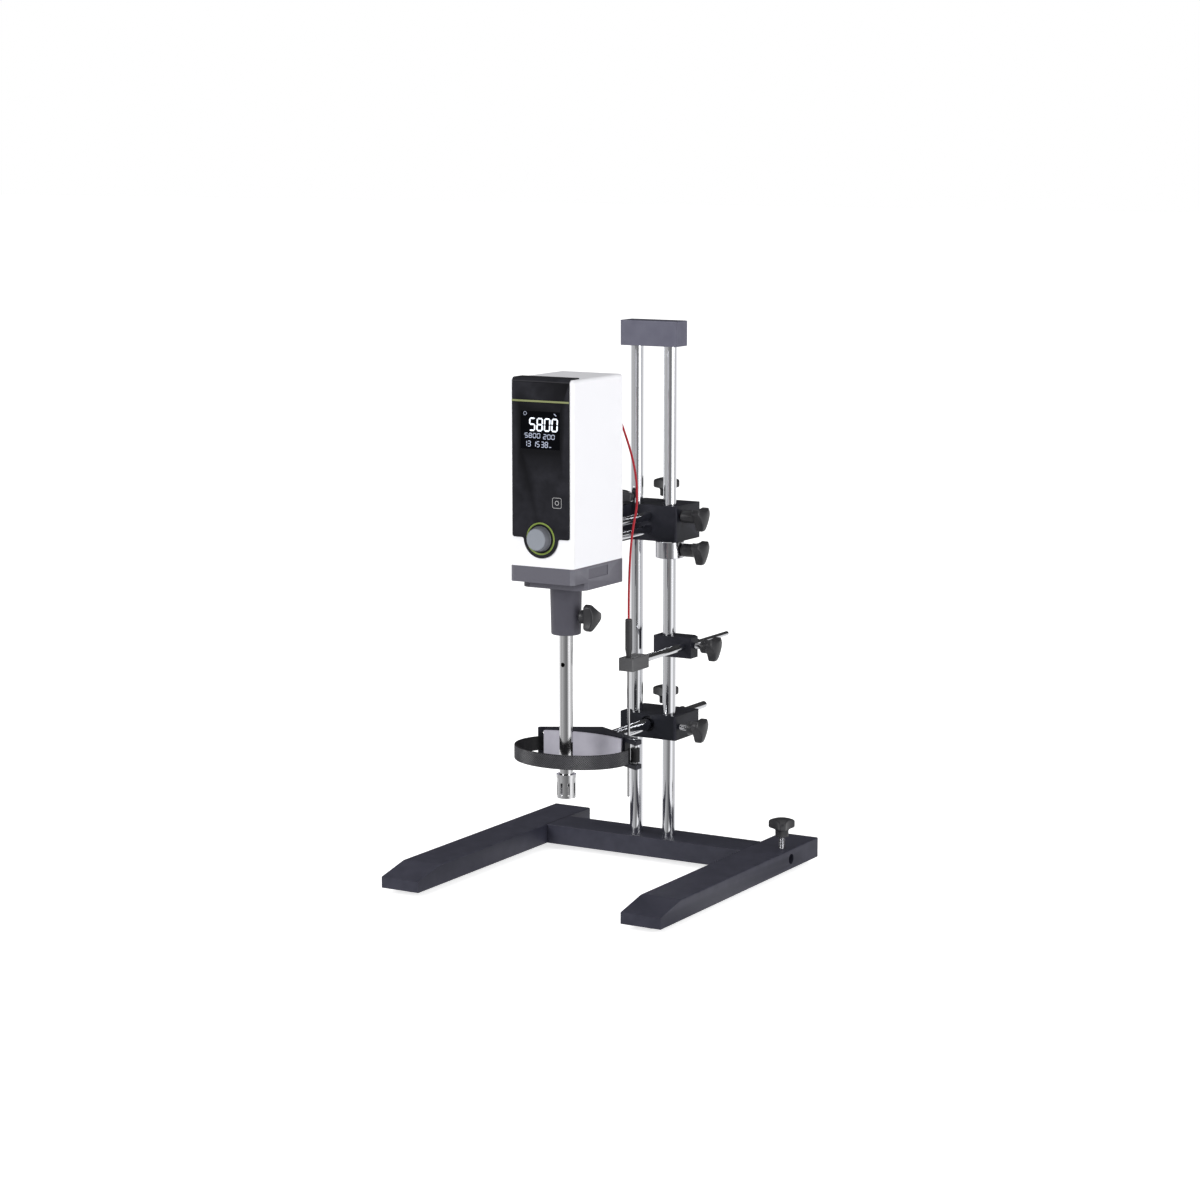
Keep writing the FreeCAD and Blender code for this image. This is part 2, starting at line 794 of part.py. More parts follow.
def upper_block():
    """The clamp block of the drive, with a forward lug on its left for a third knob."""
    body = new_body("upper_block")
    half_width = s.block_width / 2
    lug_front = block_front_y - s.lug_reach
    lug_inner = s.lug_width - half_width
    plan = outline(new_sketch(body, "XY_Plane", s.upper_block_bottom), [
        (-half_width, lug_front),
        (lug_inner, lug_front),
        (lug_inner, block_front_y),
        (half_width, block_front_y),
        (half_width, block_rear_y),
        (-half_width, block_rear_y),
    ])
    feature(body, "Pad", plan, s.upper_block_height)
    drill_for_columns(body, upper_block_top, s.upper_block_height)
    for height in (s.upper_rod_z, s.lower_rod_z):
        bore_radius = s.drive_rod_radius + s.slide_clearance
        bore = circle(new_sketch(body, "XZ_Plane", -block_front_y), bore_radius, ZERO, height)
        feature(body, "Pocket", bore, s.block_front + s.block_rear)
    drill_for_knobs(body, s.upper_side_knob_z, upper_block_top, upper_block_top - s.upper_rod_z)
    lug_hole = circle(new_sketch(body, "XY_Plane", upper_block_top), stud_hole_radius, *lug_knob_seat[:2])
    feature(body, "Pocket", lug_hole, s.lug_screw_depth + s.stud_clearance)
    soften_block(body, s.upper_block_bottom, upper_block_top)
    node("upper_block", body)


def stop_ring():
    """The polished ring that holds the upper block up."""
    bottom = s.upper_block_bottom - s.stop_ring_height
    middle = bottom + s.stop_ring_height / 2
    centre = (column_x, column_y, bottom)
    ring = cylinder("stop_ring_blank", s.stop_ring_radius, centre, s.stop_ring_height)
    bore = cylinder("stop_ring_bore", slide_radius, centre, s.stop_ring_height)
    centre = (column_x, column_y, middle)
    hole = cylinder("stop_ring_hole", stud_hole_radius, centre, s.stop_ring_radius, "X")
    node("stop_ring", cut("stop_ring", ring, bore, hole))


# Drive

def plan_sketch(body, bottom, half_width, front, back):
    """A sketch of the drive's rectangular plan at one height."""
    return oblong(new_sketch(body, "XY_Plane", bottom), (-half_width, front), (half_width, back))


def white_housing():
    """The tall moulded cover, open below, with holes for the dial, the rods and the probe socket."""
    body = new_body("white_housing")
    half_width = s.housing_width / 2
    height = s.housing_top - s.housing_bottom
    plan = plan_sketch(body, s.housing_bottom, half_width, housing_front_y, housing_rear_y)
    feature(body, "Pad", plan, height)
    soften(body, s.housing_corner, is_upright)
    soften(body, s.housing_top_edge, lambda edge: lies_at(edge, s.housing_top))
    inner_front = housing_front_y + s.housing_wall
    inner_rear = housing_rear_y - s.housing_wall
    hollow = plan_sketch(body, s.housing_bottom, half_width - s.housing_wall, inner_front, inner_rear)
    feature(body, "Pocket", hollow, height - s.housing_wall, back=True)
    dial_hole = circle(new_sketch(body, "XZ_Plane", -housing_front_y), dial_hole_radius, ZERO, s.dial_z)
    feature(body, "Pocket", dial_hole, s.housing_wall)
    rear_holes = new_sketch(body, "XZ_Plane", -housing_rear_y)
    circle(rear_holes, s.drive_rod_radius, ZERO, s.upper_rod_z)
    circle(rear_holes, s.drive_rod_radius, ZERO, s.lower_rod_z)
    circle(rear_holes, s.socket_radius, s.socket_x, s.socket_z)
    feature(body, "Pocket", rear_holes, s.housing_wall, back=True)
    node("white_housing", body)


def front_panel():
    """The dark fascia: it wraps over the top edge and ends below in a round lobe about the dial."""
    body = new_body("front_panel")
    wrap_end = housing_front_y + s.panel_wrap
    crown = s.housing_top + s.panel_thickness
    half_width = s.panel_width / 2
    side_view = outline(new_sketch(body, "YZ_Plane", -half_width), [
        (panel_face_y, s.panel_bottom),
        (housing_front_y, s.panel_bottom),
        (housing_front_y, s.housing_top),
        (wrap_end, s.housing_top),
        (wrap_end, crown),
        (panel_face_y, crown),
    ])
    feature(body, "Pad", side_view, s.panel_width)

    def front_edge_at(height):
        return lambda edge: lies_at(edge, height) and edge.BoundBox.YMax < wrap_end.value - 0.1

    soften(body, s.housing_top_edge, front_edge_at(s.housing_top))
    outer_edge = s.housing_top_edge + s.panel_thickness
    soften(body, outer_edge, lambda edge: front_edge_at(crown)(edge) and runs_across(edge))
    soften(body, s.panel_corner, lambda edge: lies_at(edge, s.panel_bottom) and runs_deep(edge))
    lobe = circle(new_sketch(body, "XZ_Plane", -housing_front_y), s.panel_lobe_radius, ZERO, s.dial_z)
    feature(body, "Pad", lobe, s.panel_thickness)
    soften(body, s.panel_corner, lambda edge: lies_at(edge, s.panel_bottom) and runs_deep(edge))
    hole = circle(new_sketch(body, "XZ_Plane", -panel_face_y), dial_hole_radius, ZERO, s.dial_z)
    feature(body, "Pocket", hole, s.panel_thickness)
    recess = oblong(new_sketch(body, "XZ_Plane", -panel_face_y), *display_corners)
    feature(body, "Pocket", recess, s.display_thickness)
    node("front_panel", body)


def panel_fittings():
    """Display window, coloured line and the ring about the dial."""
    low, high = display_corners
    window_low = (low[0], panel_face_y, low[1])
    window_high = (high[0], panel_face_y + s.display_thickness, high[1])
    node("display_window", box("display_window", window_low, window_high))
    line_low = (-s.panel_width / 2, panel_face_y - s.display_thickness, s.accent_z)
    line_high = (s.panel_width / 2, panel_face_y, s.accent_z + s.accent_height)
    node("accent_line", box("accent_line", line_low, line_high))
    centre = (ZERO, panel_face_y, s.dial_z)
    outer = cylinder("dial_ring_outer", s.dial_ring_radius, centre, s.dial_ring_height, "-Y")
    inner = cylinder("dial_ring_inner", s.dial_ring_inner, centre, s.dial_ring_height, "-Y")
    node("dial_ring", cut("dial_ring", outer, inner))


def dial():
    """The control knob on its shaft, its metal face, and the encoder that it turns."""
    back = panel_face_y - s.dial_gap
    shaft_end = back + s.dial_shaft_length
    dial_back = (ZERO, back, s.dial_z)
    skirt = cone("dial_skirt", s.dial_radius, s.dial_face_radius, dial_back, s.dial_length, "-Y")
    shaft = cylinder("dial_shaft", s.dial_shaft_radius, (ZERO, back, s.dial_z), s.dial_shaft_length, "Y")
    node("control_knob", fuse("control_knob", skirt, shaft))
    face_start = (ZERO, back - s.dial_length, s.dial_z)
    face_edge = s.dial_face_radius - s.dial_gap
    node("dial_face", cylinder("dial_face", face_edge, face_start, s.display_thickness, "-Y"))
    half = s.encoder_size / 2
    start = housing_front_y + s.housing_wall
    low = (-half, start, s.dial_z - half)
    high = (half, shaft_end + s.housing_wall, s.dial_z + half)
    block = box("encoder_block", low, high)
    depth = shaft_end - start + s.stud_clearance
    bore = cylinder("encoder_bore", dial_hole_radius, (ZERO, start, s.dial_z), depth, "Y")
    node("encoder", cut("encoder", block, bore))


def lower_housing():
    """The grey lower part, set back at the front below its rim, and the bearing bore."""
    body = new_body("lower_housing")
    half_width = s.housing_width / 2
    rim_bottom = s.housing_bottom - s.lower_rim_height
    plan = plan_sketch(body, s.collar_top_z, half_width, housing_front_y, housing_rear_y)
    feature(body, "Pad", plan, s.housing_bottom - s.collar_top_z)
    soften(body, s.housing_corner, is_upright)
    set_back = housing_front_y + s.lower_step_setback
    strip_front = housing_front_y - s.housing_corner
    front_strip = plan_sketch(body, s.collar_top_z, s.housing_width, strip_front, set_back)
    feature(body, "Pocket", front_strip, rim_bottom - s.collar_top_z, back=True)

    def step_corner(edge):
        return is_upright(edge) and edge.BoundBox.ZMax < rim_bottom.value + 0.1

    soften(body, s.lower_step_corner, step_corner)
    bore = circle(new_sketch(body, "XY_Plane", s.housing_bottom), s.bearing_radius, ZERO, tool_y)
    feature(body, "Pocket", bore, s.housing_bottom - s.collar_top_z)
    margin = s.side_recess_margin
    recess_low = (housing_front_y + s.side_recess_front, rim_bottom + margin)
    recess_high = (housing_rear_y - s.side_recess_rear, s.housing_bottom - margin)
    recess = oblong(new_sketch(body, "YZ_Plane", half_width), recess_low, recess_high)
    feature(body, "Pocket", recess, s.side_recess_depth)
    node("lower_housing", body)


def tool_collar():
    """The clamp collar for the dispersing tool, flared where it meets the grey housing."""
    body = new_body("tool_collar")
    section = outline(new_sketch(body, "XZ_Plane"), [
        (s.tube_radius + s.slide_clearance, s.collar_bottom_z),
        (s.collar_bottom_radius - s.frame_corner, s.collar_bottom_z),
        (s.collar_bottom_radius, s.collar_bottom_z + s.frame_corner),
        (s.collar_top_radius, s.collar_top_z - s.collar_flare),
        (s.collar_top_radius + s.collar_flare, s.collar_top_z),
        (s.coupling_radius + s.rotor_gap, s.collar_top_z),
        (s.coupling_radius + s.rotor_gap, s.tube_top_z + s.stud_clearance),
        (s.tube_radius + s.slide_clearance, s.tube_top_z + s.stud_clearance),
    ])
    feature(body, "Revolution", section)
    put(body, (ZERO, tool_y, ZERO))
    hole = circle(new_sketch(body, "YZ_Plane", s.collar_top_radius), stud_hole_radius, ZERO, s.tool_knob_z)
    feature(body, "Pocket", hole, s.collar_top_radius)
    node("tool_collar", body)


def drive_train():
    """Motor on its plate, spindle in two bearings, and the coupling sleeve at its end."""
    plate_top = s.housing_bottom + s.motor_plate
    spindle_top = plate_top + s.spindle_grip
    on_axis = (ZERO, tool_y, plate_top)
    motor = cylinder("motor_can", s.motor_radius, on_axis, s.motor_length)
    grip = s.spindle_grip + s.stud_clearance
    motor_hole = cylinder("motor_hole", s.spindle_radius + s.slide_clearance, on_axis, grip)
    node("motor", cut("motor", motor, motor_hole))
    inset = s.housing_wall + s.plate_clearance
    half_width = s.housing_width / 2 - inset
    plate = box("motor_plate_blank", (-half_width, housing_front_y + inset, s.housing_bottom),
                (half_width, housing_rear_y - inset, plate_top))
    hole_base = (ZERO, tool_y, s.housing_bottom)
    plate_hole = cylinder("motor_plate_hole", s.bearing_radius, hole_base, s.motor_plate)
    node("motor_plate", cut("motor_plate", plate, plate_hole))
    spindle_foot = (ZERO, tool_y, s.spindle_end_z)
    spindle = cylinder("spindle_rod", s.spindle_radius, spindle_foot, spindle_top - s.spindle_end_z)
    sleeve_start = s.spindle_end_z - s.coupling_grip
    sleeve = cylinder("spindle_sleeve", s.coupling_radius, (ZERO, tool_y, sleeve_start), s.coupling_length)
    socket = cylinder("spindle_socket", s.inner_shaft_radius + s.slide_clearance, (ZERO, tool_y, sleeve_start),
                      s.coupling_grip)
    node("spindle", cut("spindle", fuse("spindle_blank", spindle, sleeve), socket))
    bearings = []
    for bottom in (s.collar_top_z, s.housing_bottom - s.bearing_width):
        start = (ZERO, tool_y, bottom)
        outer = cylinder(f"bearing_{len(bearings)}_outer", s.bearing_radius, start, s.bearing_width)
        inner_radius = s.spindle_radius + s.slide_clearance
        inner = cylinder(f"bearing_{len(bearings)}_inner", inner_radius, start, s.bearing_width)
        bearings.append(cut(f"bearing_{len(bearings)}", outer, inner))
    node("spindle_bearings", group("spindle_bearings", *bearings))


def electronics():
    """Control board on standoffs behind the display, and the probe socket in the rear wall."""
    wall_face = housing_front_y + s.housing_wall
    board_y = wall_face + s.board_gap
    half_width = s.board_width / 2
    low = (-half_width, board_y, s.board_bottom)
    high = (half_width, board_y + s.board_thickness, s.board_top)
    node("control_board", box("control_board", low, high))
    standoffs = []
    for side in (-1, 1):
        for height in (s.board_bottom + s.standoff_inset, s.board_top - s.standoff_inset):
            start = (side * (half_width - s.standoff_inset), wall_face, height)
            name = f"standoff_{len(standoffs)}"
            standoffs.append(cylinder(name, s.standoff_radius, start, s.board_gap, "Y"))
    node("board_standoffs", group("board_standoffs", *standoffs))
    start = (s.socket_x, housing_rear_y - s.housing_wall, s.socket_z)
    length = s.housing_wall + s.socket_length
    node("probe_socket", cylinder("probe_socket", s.socket_radius, start, length, "Y"))


def drive_rods():
    """The two stacked rods that carry the drive, and the plate inside that holds them."""
    plate_rear = housing_rear_y - s.housing_wall
    plate_front = plate_rear - s.rod_plate_thickness
    plate_bottom = s.housing_bottom + s.motor_plate
    plate_half = s.housing_width / 2 - s.housing_wall - s.plate_clearance
    plate_top = s.upper_rod_z + s.drive_rod_radius + s.rod_plate_thickness
    low = (-plate_half, plate_front, plate_bottom)
    blank = box("rod_plate_blank", low, (plate_half, plate_rear, plate_top))
    length = column_y + s.drive_rod_rear - plate_front
    rods = []
    holes = []
    for height in (s.upper_rod_z, s.lower_rod_z):
        start = (ZERO, plate_front, height)
        rods.append(cylinder(f"drive_rod_{len(rods)}", s.drive_rod_radius, start, length, "Y"))
        name = f"rod_plate_hole_{len(holes)}"
        holes.append(cylinder(name, s.drive_rod_radius, start, s.rod_plate_thickness, "Y"))
    node("rod_plate", cut("rod_plate", blank, *holes))
    node("drive_rods", group("drive_rods", *rods))


# Dispersing tool

def shaft_tube():
    """The outer tube, with a vent hole facing the front and a drain slot facing the side."""
    bottom = stator_top
    start = (ZERO, tool_y, bottom)
    height = s.tube_top_z - bottom
    outer = cylinder("tube_outer", s.tube_radius, start, height)
    inner = cylinder("tube_inner", s.tube_radius - s.tube_wall, start, height)
    vent = cylinder("tube_vent", s.tube_hole_radius, (ZERO, tool_y, s.tube_hole_z), s.tube_radius, "-Y")
    half_slot = s.tube_slot_width / 2
    slot = box("tube_slot", (ZERO, tool_y - half_slot, s.tube_slot_bottom),
               (s.tube_radius, tool_y + half_slot, s.tube_slot_top))
    node("shaft_tube", cut("shaft_tube", outer, inner, vent, slot))
    bushes = []
    for bush_bottom in (bottom + s.bush_length, s.tube_top_z - s.coupling_room):
        centre = (ZERO, tool_y, bush_bottom)
        number = len(bushes)
        ring = cylinder(f"bush_{number}_outer", s.tube_radius - s.tube_wall, centre, s.bush_length)
        bore_radius = s.inner_shaft_radius + s.slide_clearance
        hole = cylinder(f"bush_{number}_inner", bore_radius, centre, s.bush_length)
        bushes.append(cut(f"bush_{number}", ring, hole))
    node("tube_bushes", group("tube_bushes", *bushes))


def stator():
    """The slotted head: a turned cup with a flange, and a ring of upright slots."""
    body = new_body("stator")
    inner = s.stator_radius - s.stator_wall
    section = outline(new_sketch(body, "XZ_Plane"), [
        (inner, s.stator_bottom_z),
        (s.stator_radius, s.stator_bottom_z),
        (s.stator_radius, stator_top),
        (s.stator_flange_radius, stator_top),
        (s.stator_flange_radius, stator_top + s.stator_flange_height),
        (s.tube_radius, stator_top + s.stator_flange_height),
        (s.tube_radius, stator_top),
        (s.inner_shaft_radius + s.rotor_gap, stator_top),
        (s.inner_shaft_radius + s.rotor_gap, stator_top - s.stator_wall),
        (inner, stator_top - s.stator_wall),
    ])
    feature(body, "Revolution", section)
    half_slot = s.stator_slot_width / 2
    slot_top = s.stator_slot_bottom + s.stator_slot_height
    slot = new_sketch(body, "YZ_Plane", s.stator_radius)
    oblong(slot, (-half_slot, s.stator_slot_bottom), (half_slot, slot_top))
    polar(body, feature(body, "Pocket", slot, s.stator_wall * 2), int(SIZES["stator_slot_count"]))
    node("stator", put(body, (ZERO, tool_y, ZERO)))


def rotor():
    """The inner shaft and the slotted rotor that it turns inside the stator."""
    top = s.spindle_end_z - s.stud_clearance
    shaft_base = (ZERO, tool_y, s.rotor_bottom_z)
    shaft = cylinder("inner_shaft", s.inner_shaft_radius, shaft_base, top - s.rotor_bottom_z)
    node("inner_shaft", shaft)
    radius = s.stator_radius - s.stator_wall - s.rotor_gap
    start = (ZERO, tool_y, s.rotor_bottom_z)
    blank = cylinder("rotor_blank", radius, start, s.rotor_height)
    bore = cylinder("rotor_bore", s.inner_shaft_radius, start, s.rotor_height)
    half_slot = s.rotor_slot_width / 2
    slot_depth = s.rotor_height * 2 / 3
    cuts = [bore]
    for side in (-1, 1):
        start_x = s.inner_shaft_radius + s.stator_wall
        low_x, high_x = (start_x, radius) if side > 0 else (-radius, -start_x)
        cuts.append(box(f"rotor_slot_x{side}", (low_x, tool_y - half_slot, s.rotor_bottom_z),
                        (high_x, tool_y + half_slot, s.rotor_bottom_z + slot_depth)))
        cuts.append(box(f"rotor_slot_y{side}", (-half_slot, tool_y + low_x, s.rotor_bottom_z),
                        (half_slot, tool_y + high_x, s.rotor_bottom_z + slot_depth)))
    node("rotor", cut("rotor", blank, *cuts))


# Probe holder and probe

def boss_head():
    """The clamp head on the right column that carries the probe rod, and its grub screw."""
    body = new_body("boss_head")
    front = column_y - s.boss_front
    rear = column_y + s.boss_rear
    top = s.boss_bottom + s.boss_height
    plan = outline(new_sketch(body, "XY_Plane", s.boss_bottom), [
        (s.boss_left, front),
        (s.boss_right, front),
        (s.boss_right, rear - s.boss_corner),
        (s.boss_right - s.boss_corner, rear),
        (s.boss_left, rear),
    ])
    feature(body, "Pad", plan, s.boss_height)
    bore = circle(new_sketch(body, "XY_Plane", top), slide_radius, column_x, column_y)
    feature(body, "Pocket", bore, s.boss_height)
    rod_radius = s.probe_rod_radius + s.slide_clearance
    rod_hole = circle(new_sketch(body, "XZ_Plane", -front), rod_radius, s.probe_rod_x, s.probe_rod_z)
    feature(body, "Pocket", rod_hole, s.boss_front + s.boss_rear)
    knob_hole = circle(new_sketch(body, "YZ_Plane", s.boss_right), stud_hole_radius, column_y, s.probe_rod_z)
    feature(body, "Pocket", knob_hole, s.boss_right - s.probe_rod_x)
    grub_hole = circle(new_sketch(body, "XZ_Plane", -rear), s.grub_radius, column_x, s.probe_rod_z)
    feature(body, "Pocket", grub_hole, s.boss_rear - s.column_radius / 2, back=True)
    node("boss_head", body)
    grub_start = (column_x, column_y + s.column_radius + s.stud_clearance, s.probe_rod_z)
    grub_length = s.boss_rear - s.column_radius - s.stud_clearance
    node("boss_grub_screw", cylinder("boss_grub_screw", s.grub_radius, grub_start, grub_length, "Y"))


def probe_rod():
    """The stepped rod from the clamp head to the clip, and the clip itself."""
    step_y = column_y + s.probe_rod_end - s.probe_rod_tail
    grip = s.clip_length - s.probe_inset * 2
    rod_start = clip_rear_y - grip
    main = cylinder("probe_rod_main", s.probe_rod_radius, (s.probe_rod_x, rod_start, s.probe_rod_z),
                    step_y - rod_start, "Y")
    tail = cylinder("probe_rod_tail", s.probe_rod_tail_radius, (s.probe_rod_x, step_y, s.probe_rod_z),
                    s.probe_rod_tail, "Y")
    node("probe_rod", fuse("probe_rod", main, tail))
    half = s.clip_width / 2
    low = (s.probe_rod_x - half, column_y - s.clip_front, clip_bottom)
    high = (s.probe_rod_x + half, clip_rear_y, clip_top)
    blank = rounded("clip_blank", box("clip_box", low, high), s.frame_corner, is_upright)
    hole_start = (s.probe_rod_x, rod_start, s.probe_rod_z)
    rod_hole = cylinder("clip_rod_hole", s.probe_rod_radius, hole_start, grip, "Y")
    stem_hole = cylinder("clip_stem_hole", s.probe_stem_radius + s.slide_clearance,
                         (s.probe_rod_x, probe_y, clip_bottom), s.clip_height)
    node("probe_clip", cut("probe_clip", blank, rod_hole, stem_hole))


def probe():
    """The temperature probe: a handle with a tapered foot, and a stepped stem."""
    axis = (s.probe_rod_x, probe_y)
    foot_top = clip_top + s.probe_handle_foot
    foot_start = (*axis, clip_top)
    foot = cone("probe_foot", s.probe_foot_radius, s.probe_handle_radius, foot_start, s.probe_handle_foot)
    grip = cylinder("probe_grip", s.probe_handle_radius, (*axis, foot_top), s.probe_handle_top - foot_top)
    node("probe_handle", fuse("probe_handle", foot, grip))
    step = s.probe_stem_step_z
    stem = cylinder("probe_stem_upper", s.probe_stem_radius, (*axis, step), clip_top - step)
    tip = cylinder("probe_stem_tip", s.probe_tip_radius, (*axis, s.probe_tip_z), step - s.probe_tip_z)
    node("probe_stem", fuse("probe_stem", stem, tip))


# Vessel holder

def vessel_jaw():
    """The V-backed jaw with a hollowed front, a drilled tab on the left and a clevis on the right."""
    body = new_body("vessel_jaw")

    def back_line(across):
        return jaw_apex_y - s.jaw_slope * across

    half = s.jaw_half_width
    tab_x = half + s.tab_length
    clevis_x = half + s.clevis_length
    front = jaw_apex_y - s.jaw_end_depth
    plan = outline(new_sketch(body, "XY_Plane", jaw_bottom), [
        (ZERO, jaw_apex_y),
        (-tab_x, back_line(tab_x)),
        (-tab_x, back_line(tab_x) - s.tab_thickness),
        (-half, back_line(half) - s.tab_thickness),
        (-half, front),
        (half, front),
        (half, back_line(half) - s.clevis_depth),
        (clevis_x, back_line(clevis_x) - s.clevis_depth),
        (clevis_x, back_line(clevis_x)),
    ])
    feature(body, "Pad", plan, s.jaw_height)
    hollow = circle(new_sketch(body, "XY_Plane", s.jaw_top), s.jaw_arc_radius, ZERO, jaw_centre_y)
    feature(body, "Pocket", hollow, s.jaw_height)
    reach = jaw_apex_y - back_line(clevis_x) + s.clevis_depth
    slot_low = (half + s.clevis_slot_inset, jaw_bottom + s.clevis_thickness)
    slot_high = (clevis_x, s.jaw_top - s.clevis_thickness)
    slot = oblong(new_sketch(body, "XZ_Plane", -jaw_apex_y), slot_low, slot_high)
    feature(body, "Pocket", slot, reach, back=True)
    pin_hole = circle(new_sketch(body, "XY_Plane", s.jaw_top), s.strap_pin_radius, pin_x, pin_y)
    feature(body, "Pocket", pin_hole, s.jaw_height)
    rod_hole = circle(new_sketch(body, "XZ_Plane", -jaw_apex_y), s.vessel_rod_radius, ZERO, s.vessel_rod_z)
    feature(body, "Pocket", rod_hole, s.jaw_rod_socket, back=True)
    tab_front = back_line(tab_x) - s.tab_thickness
    tab_middle = -half - s.tab_length / 2
    jaw_middle_z = s.jaw_top - s.jaw_height / 2
    tab_holes = new_sketch(body, "XZ_Plane", -tab_front)
    for side in (-1, 1):
        circle(tab_holes, s.tab_hole_radius, tab_middle, jaw_middle_z + side * s.tab_hole_pitch / 2)
    feature(body, "Pocket", tab_holes, s.tab_thickness + s.tab_length * 2)
    node("vessel_jaw", body)


def jaw_liner():
    """The soft pad on the hollow front of the jaw."""
    bottom = jaw_bottom + s.liner_margin
    height = s.jaw_height - s.liner_margin * 2
    centre = (ZERO, jaw_centre_y, bottom)
    outer = cylinder("liner_outer", s.jaw_arc_radius, centre, height)
    inner = cylinder("liner_inner", s.jaw_arc_radius - s.liner_thickness, centre, height)
    ring = cut("liner_ring", outer, inner)
    half = s.jaw_half_width - s.liner_margin
    low = (-half, jaw_centre_y, bottom)
    high = (half, jaw_apex_y, bottom + height)
    window = box("liner_window", low, high)
    liner = document.addObject("Part::Common", "jaw_liner")
    liner.Base = ring
    liner.Tool = window
    node("jaw_liner", liner)


def strap():
    """The strap about the vessel, an open oval band, with an eye on the clevis pin."""
    bottom = (strap_middle_z - s.strap_height / 2).value
    height = s.strap_height.value
    up = FreeCAD.Vector(0, 0, 1)
    centre = FreeCAD.Vector(0, strap_centre_y.value, bottom)
    ovals = []
    for inset in (ZERO, s.strap_thickness):
        across = (s.strap_half_width - inset).value
        along = (s.strap_half_depth - inset).value
        rim = Part.Wire(Part.Ellipse(centre, across, along).toShape())
        ovals.append(Part.Face(rim).extrude(up * height))
    band = ovals[0].cut(ovals[1])
    half = s.jaw_half_width.value
    wide = (s.strap_half_width * 2).value
    apex = jaw_apex_y.value
    slope = s.jaw_slope.value
    tab = s.tab_thickness.value
    end = apex - s.strap_end.value
    clear = apex - s.jaw_end_depth.value
    corners = [
        (-wide, apex - slope * wide - tab),
        (-half, apex - slope * half - tab),
        (-half, clear),
        (0, clear),
        (0, end),
        (wide, end),
        (wide, apex),
        (-wide, apex),
    ]
    loop = Part.makePolygon([FreeCAD.Vector(x, y, bottom) for x, y in corners + corners[:1]])
    band = band.cut(Part.Face(loop).extrude(up * height))
    eye_centre = FreeCAD.Vector(pin_x.value, pin_y.value, bottom)
    eye = Part.makeCylinder(s.strap_eye_radius.value, height, eye_centre)
    hole = Part.makeCylinder(s.strap_pin_radius.value, height, eye_centre)
    item = document.addObject("Part::Feature", "strap")
    item.Shape = band.fuse(eye).cut(hole).removeSplitter()
    node("strap", item)
    node("strap_pin", cylinder("strap_pin", s.strap_pin_radius, (pin_x, pin_y, jaw_bottom), s.jaw_height))


def vessel_rod():
    """The stepped rod that carries the jaw in the lower block."""
    front = jaw_apex_y - s.jaw_rod_socket
    step_y = column_y + s.vessel_rod_end - s.vessel_rod_tail
    rod_front = (ZERO, front, s.vessel_rod_z)
    main = cylinder("vessel_rod_main", s.vessel_rod_radius, rod_front, step_y - front, "Y")
    tail_start = (ZERO, step_y, s.vessel_rod_z)
    tail = cylinder("vessel_rod_tail", s.vessel_rod_tail_radius, tail_start, s.vessel_rod_tail, "Y")
    node("vessel_rod", fuse("vessel_rod", main, tail))


# Probe cable

CABLE_ROUTE = [
    (24.0, -51.25, 633.0),
    (24.3, -42.0, 632.3),
    (26.6, -35.0, 624.0),
    (30.4, -33.0, 611.5),
    (39.6, -33.0, 588.0),
    (47.4, -33.5, 563.8),
    (51.7, -34.5, 541.6),
    (53.4, -36.0, 526.7),
    (54.6, -38.5, 507.8),
    (51.9, -43.0, 484.7),
    (51.6, -48.5, 461.7),
    (53.1, -54.5, 436.9),
    (54.5, -58.8, 414.4),
    (54.9, -60.4, 388.0),
    (55.0, -60.5, 363.0),
]


def cable_path(points):
    """Straight runs joined by the largest tangent arcs that the runs leave room for."""
    places = [FreeCAD.Vector(*point) for point in points]
    edges = []
    here = places[0]
    radii = []
    for before, corner, after in zip(places, places[1:], places[2:]):
        towards = corner - before
        away = after - corner
        half_turn = towards.getAngle(away) / 2
        reach = 0.45 * min(towards.Length, away.Length)
        radii.append(reach / math.tan(half_turn))
        start = corner - towards.normalize() * reach
        end = corner + away.normalize() * reach
        inwards = (start + end) / 2 - corner
        sagitta = radii[-1] / math.cos(half_turn) - radii[-1]
        middle = corner + inwards.normalize() * sagitta
        edges += [Part.LineSegment(here, start).toShape(), Part.Arc(start, middle, end).toShape()]
        here = end
    edges.append(Part.LineSegment(here, places[-1]).toShape())
    print("cable arc radii in mm:", [round(radius, 1) for radius in radii])
    return Part.Wire(edges)


def probe_cable():
    """The cable from the socket on the drive to the top of the probe handle."""
    path = cable_path(CABLE_ROUTE)
    start = FreeCAD.Vector(*CABLE_ROUTE[0])
    along = FreeCAD.Vector(*CABLE_ROUTE[1]) - start
    section = Part.Wire(Part.Circle(start, along, s.cable_radius.value).toShape())
    item = document.addObject("Part::Feature", "probe_cable")
    item.Shape = path.makePipeShell([section], True, False)
    expected = math.pi * s.cable_radius.value ** 2 * path.Length
    print(f"cable length {path.Length:.1f} mm, volume {item.Shape.Volume:.0f} of {expected:.0f} mm3")
    node("probe_cable", item)


for build in (
    legs, crossbar, rubber_feet, columns, top_cap, knobs, lower_block, upper_block, stop_ring,
    white_housing, front_panel, panel_fittings, dial, lower_housing, tool_collar, drive_train,
    electronics, drive_rods, shaft_tube, stator, rotor, boss_head, probe_rod, probe, vessel_jaw,
    jaw_liner, strap, vessel_rod, probe_cable,
):
    build()

document.recompute()
for item in document.Objects:
    if "Invalid" in item.State or "Error" in item.State:
        raise RuntimeError(f"{item.Label} did not compute")
for name, item in nodes.items():
    if item.Shape.isNull() or not item.Shape.isValid():
        raise RuntimeError(f"{name} has no valid shape")

os.makedirs("parts", exist_ok=True)
for name, item in nodes.items():
    item.Shape.exportStep(f"parts/{name}.step")
print(f"{len(nodes)} sub-parts written")
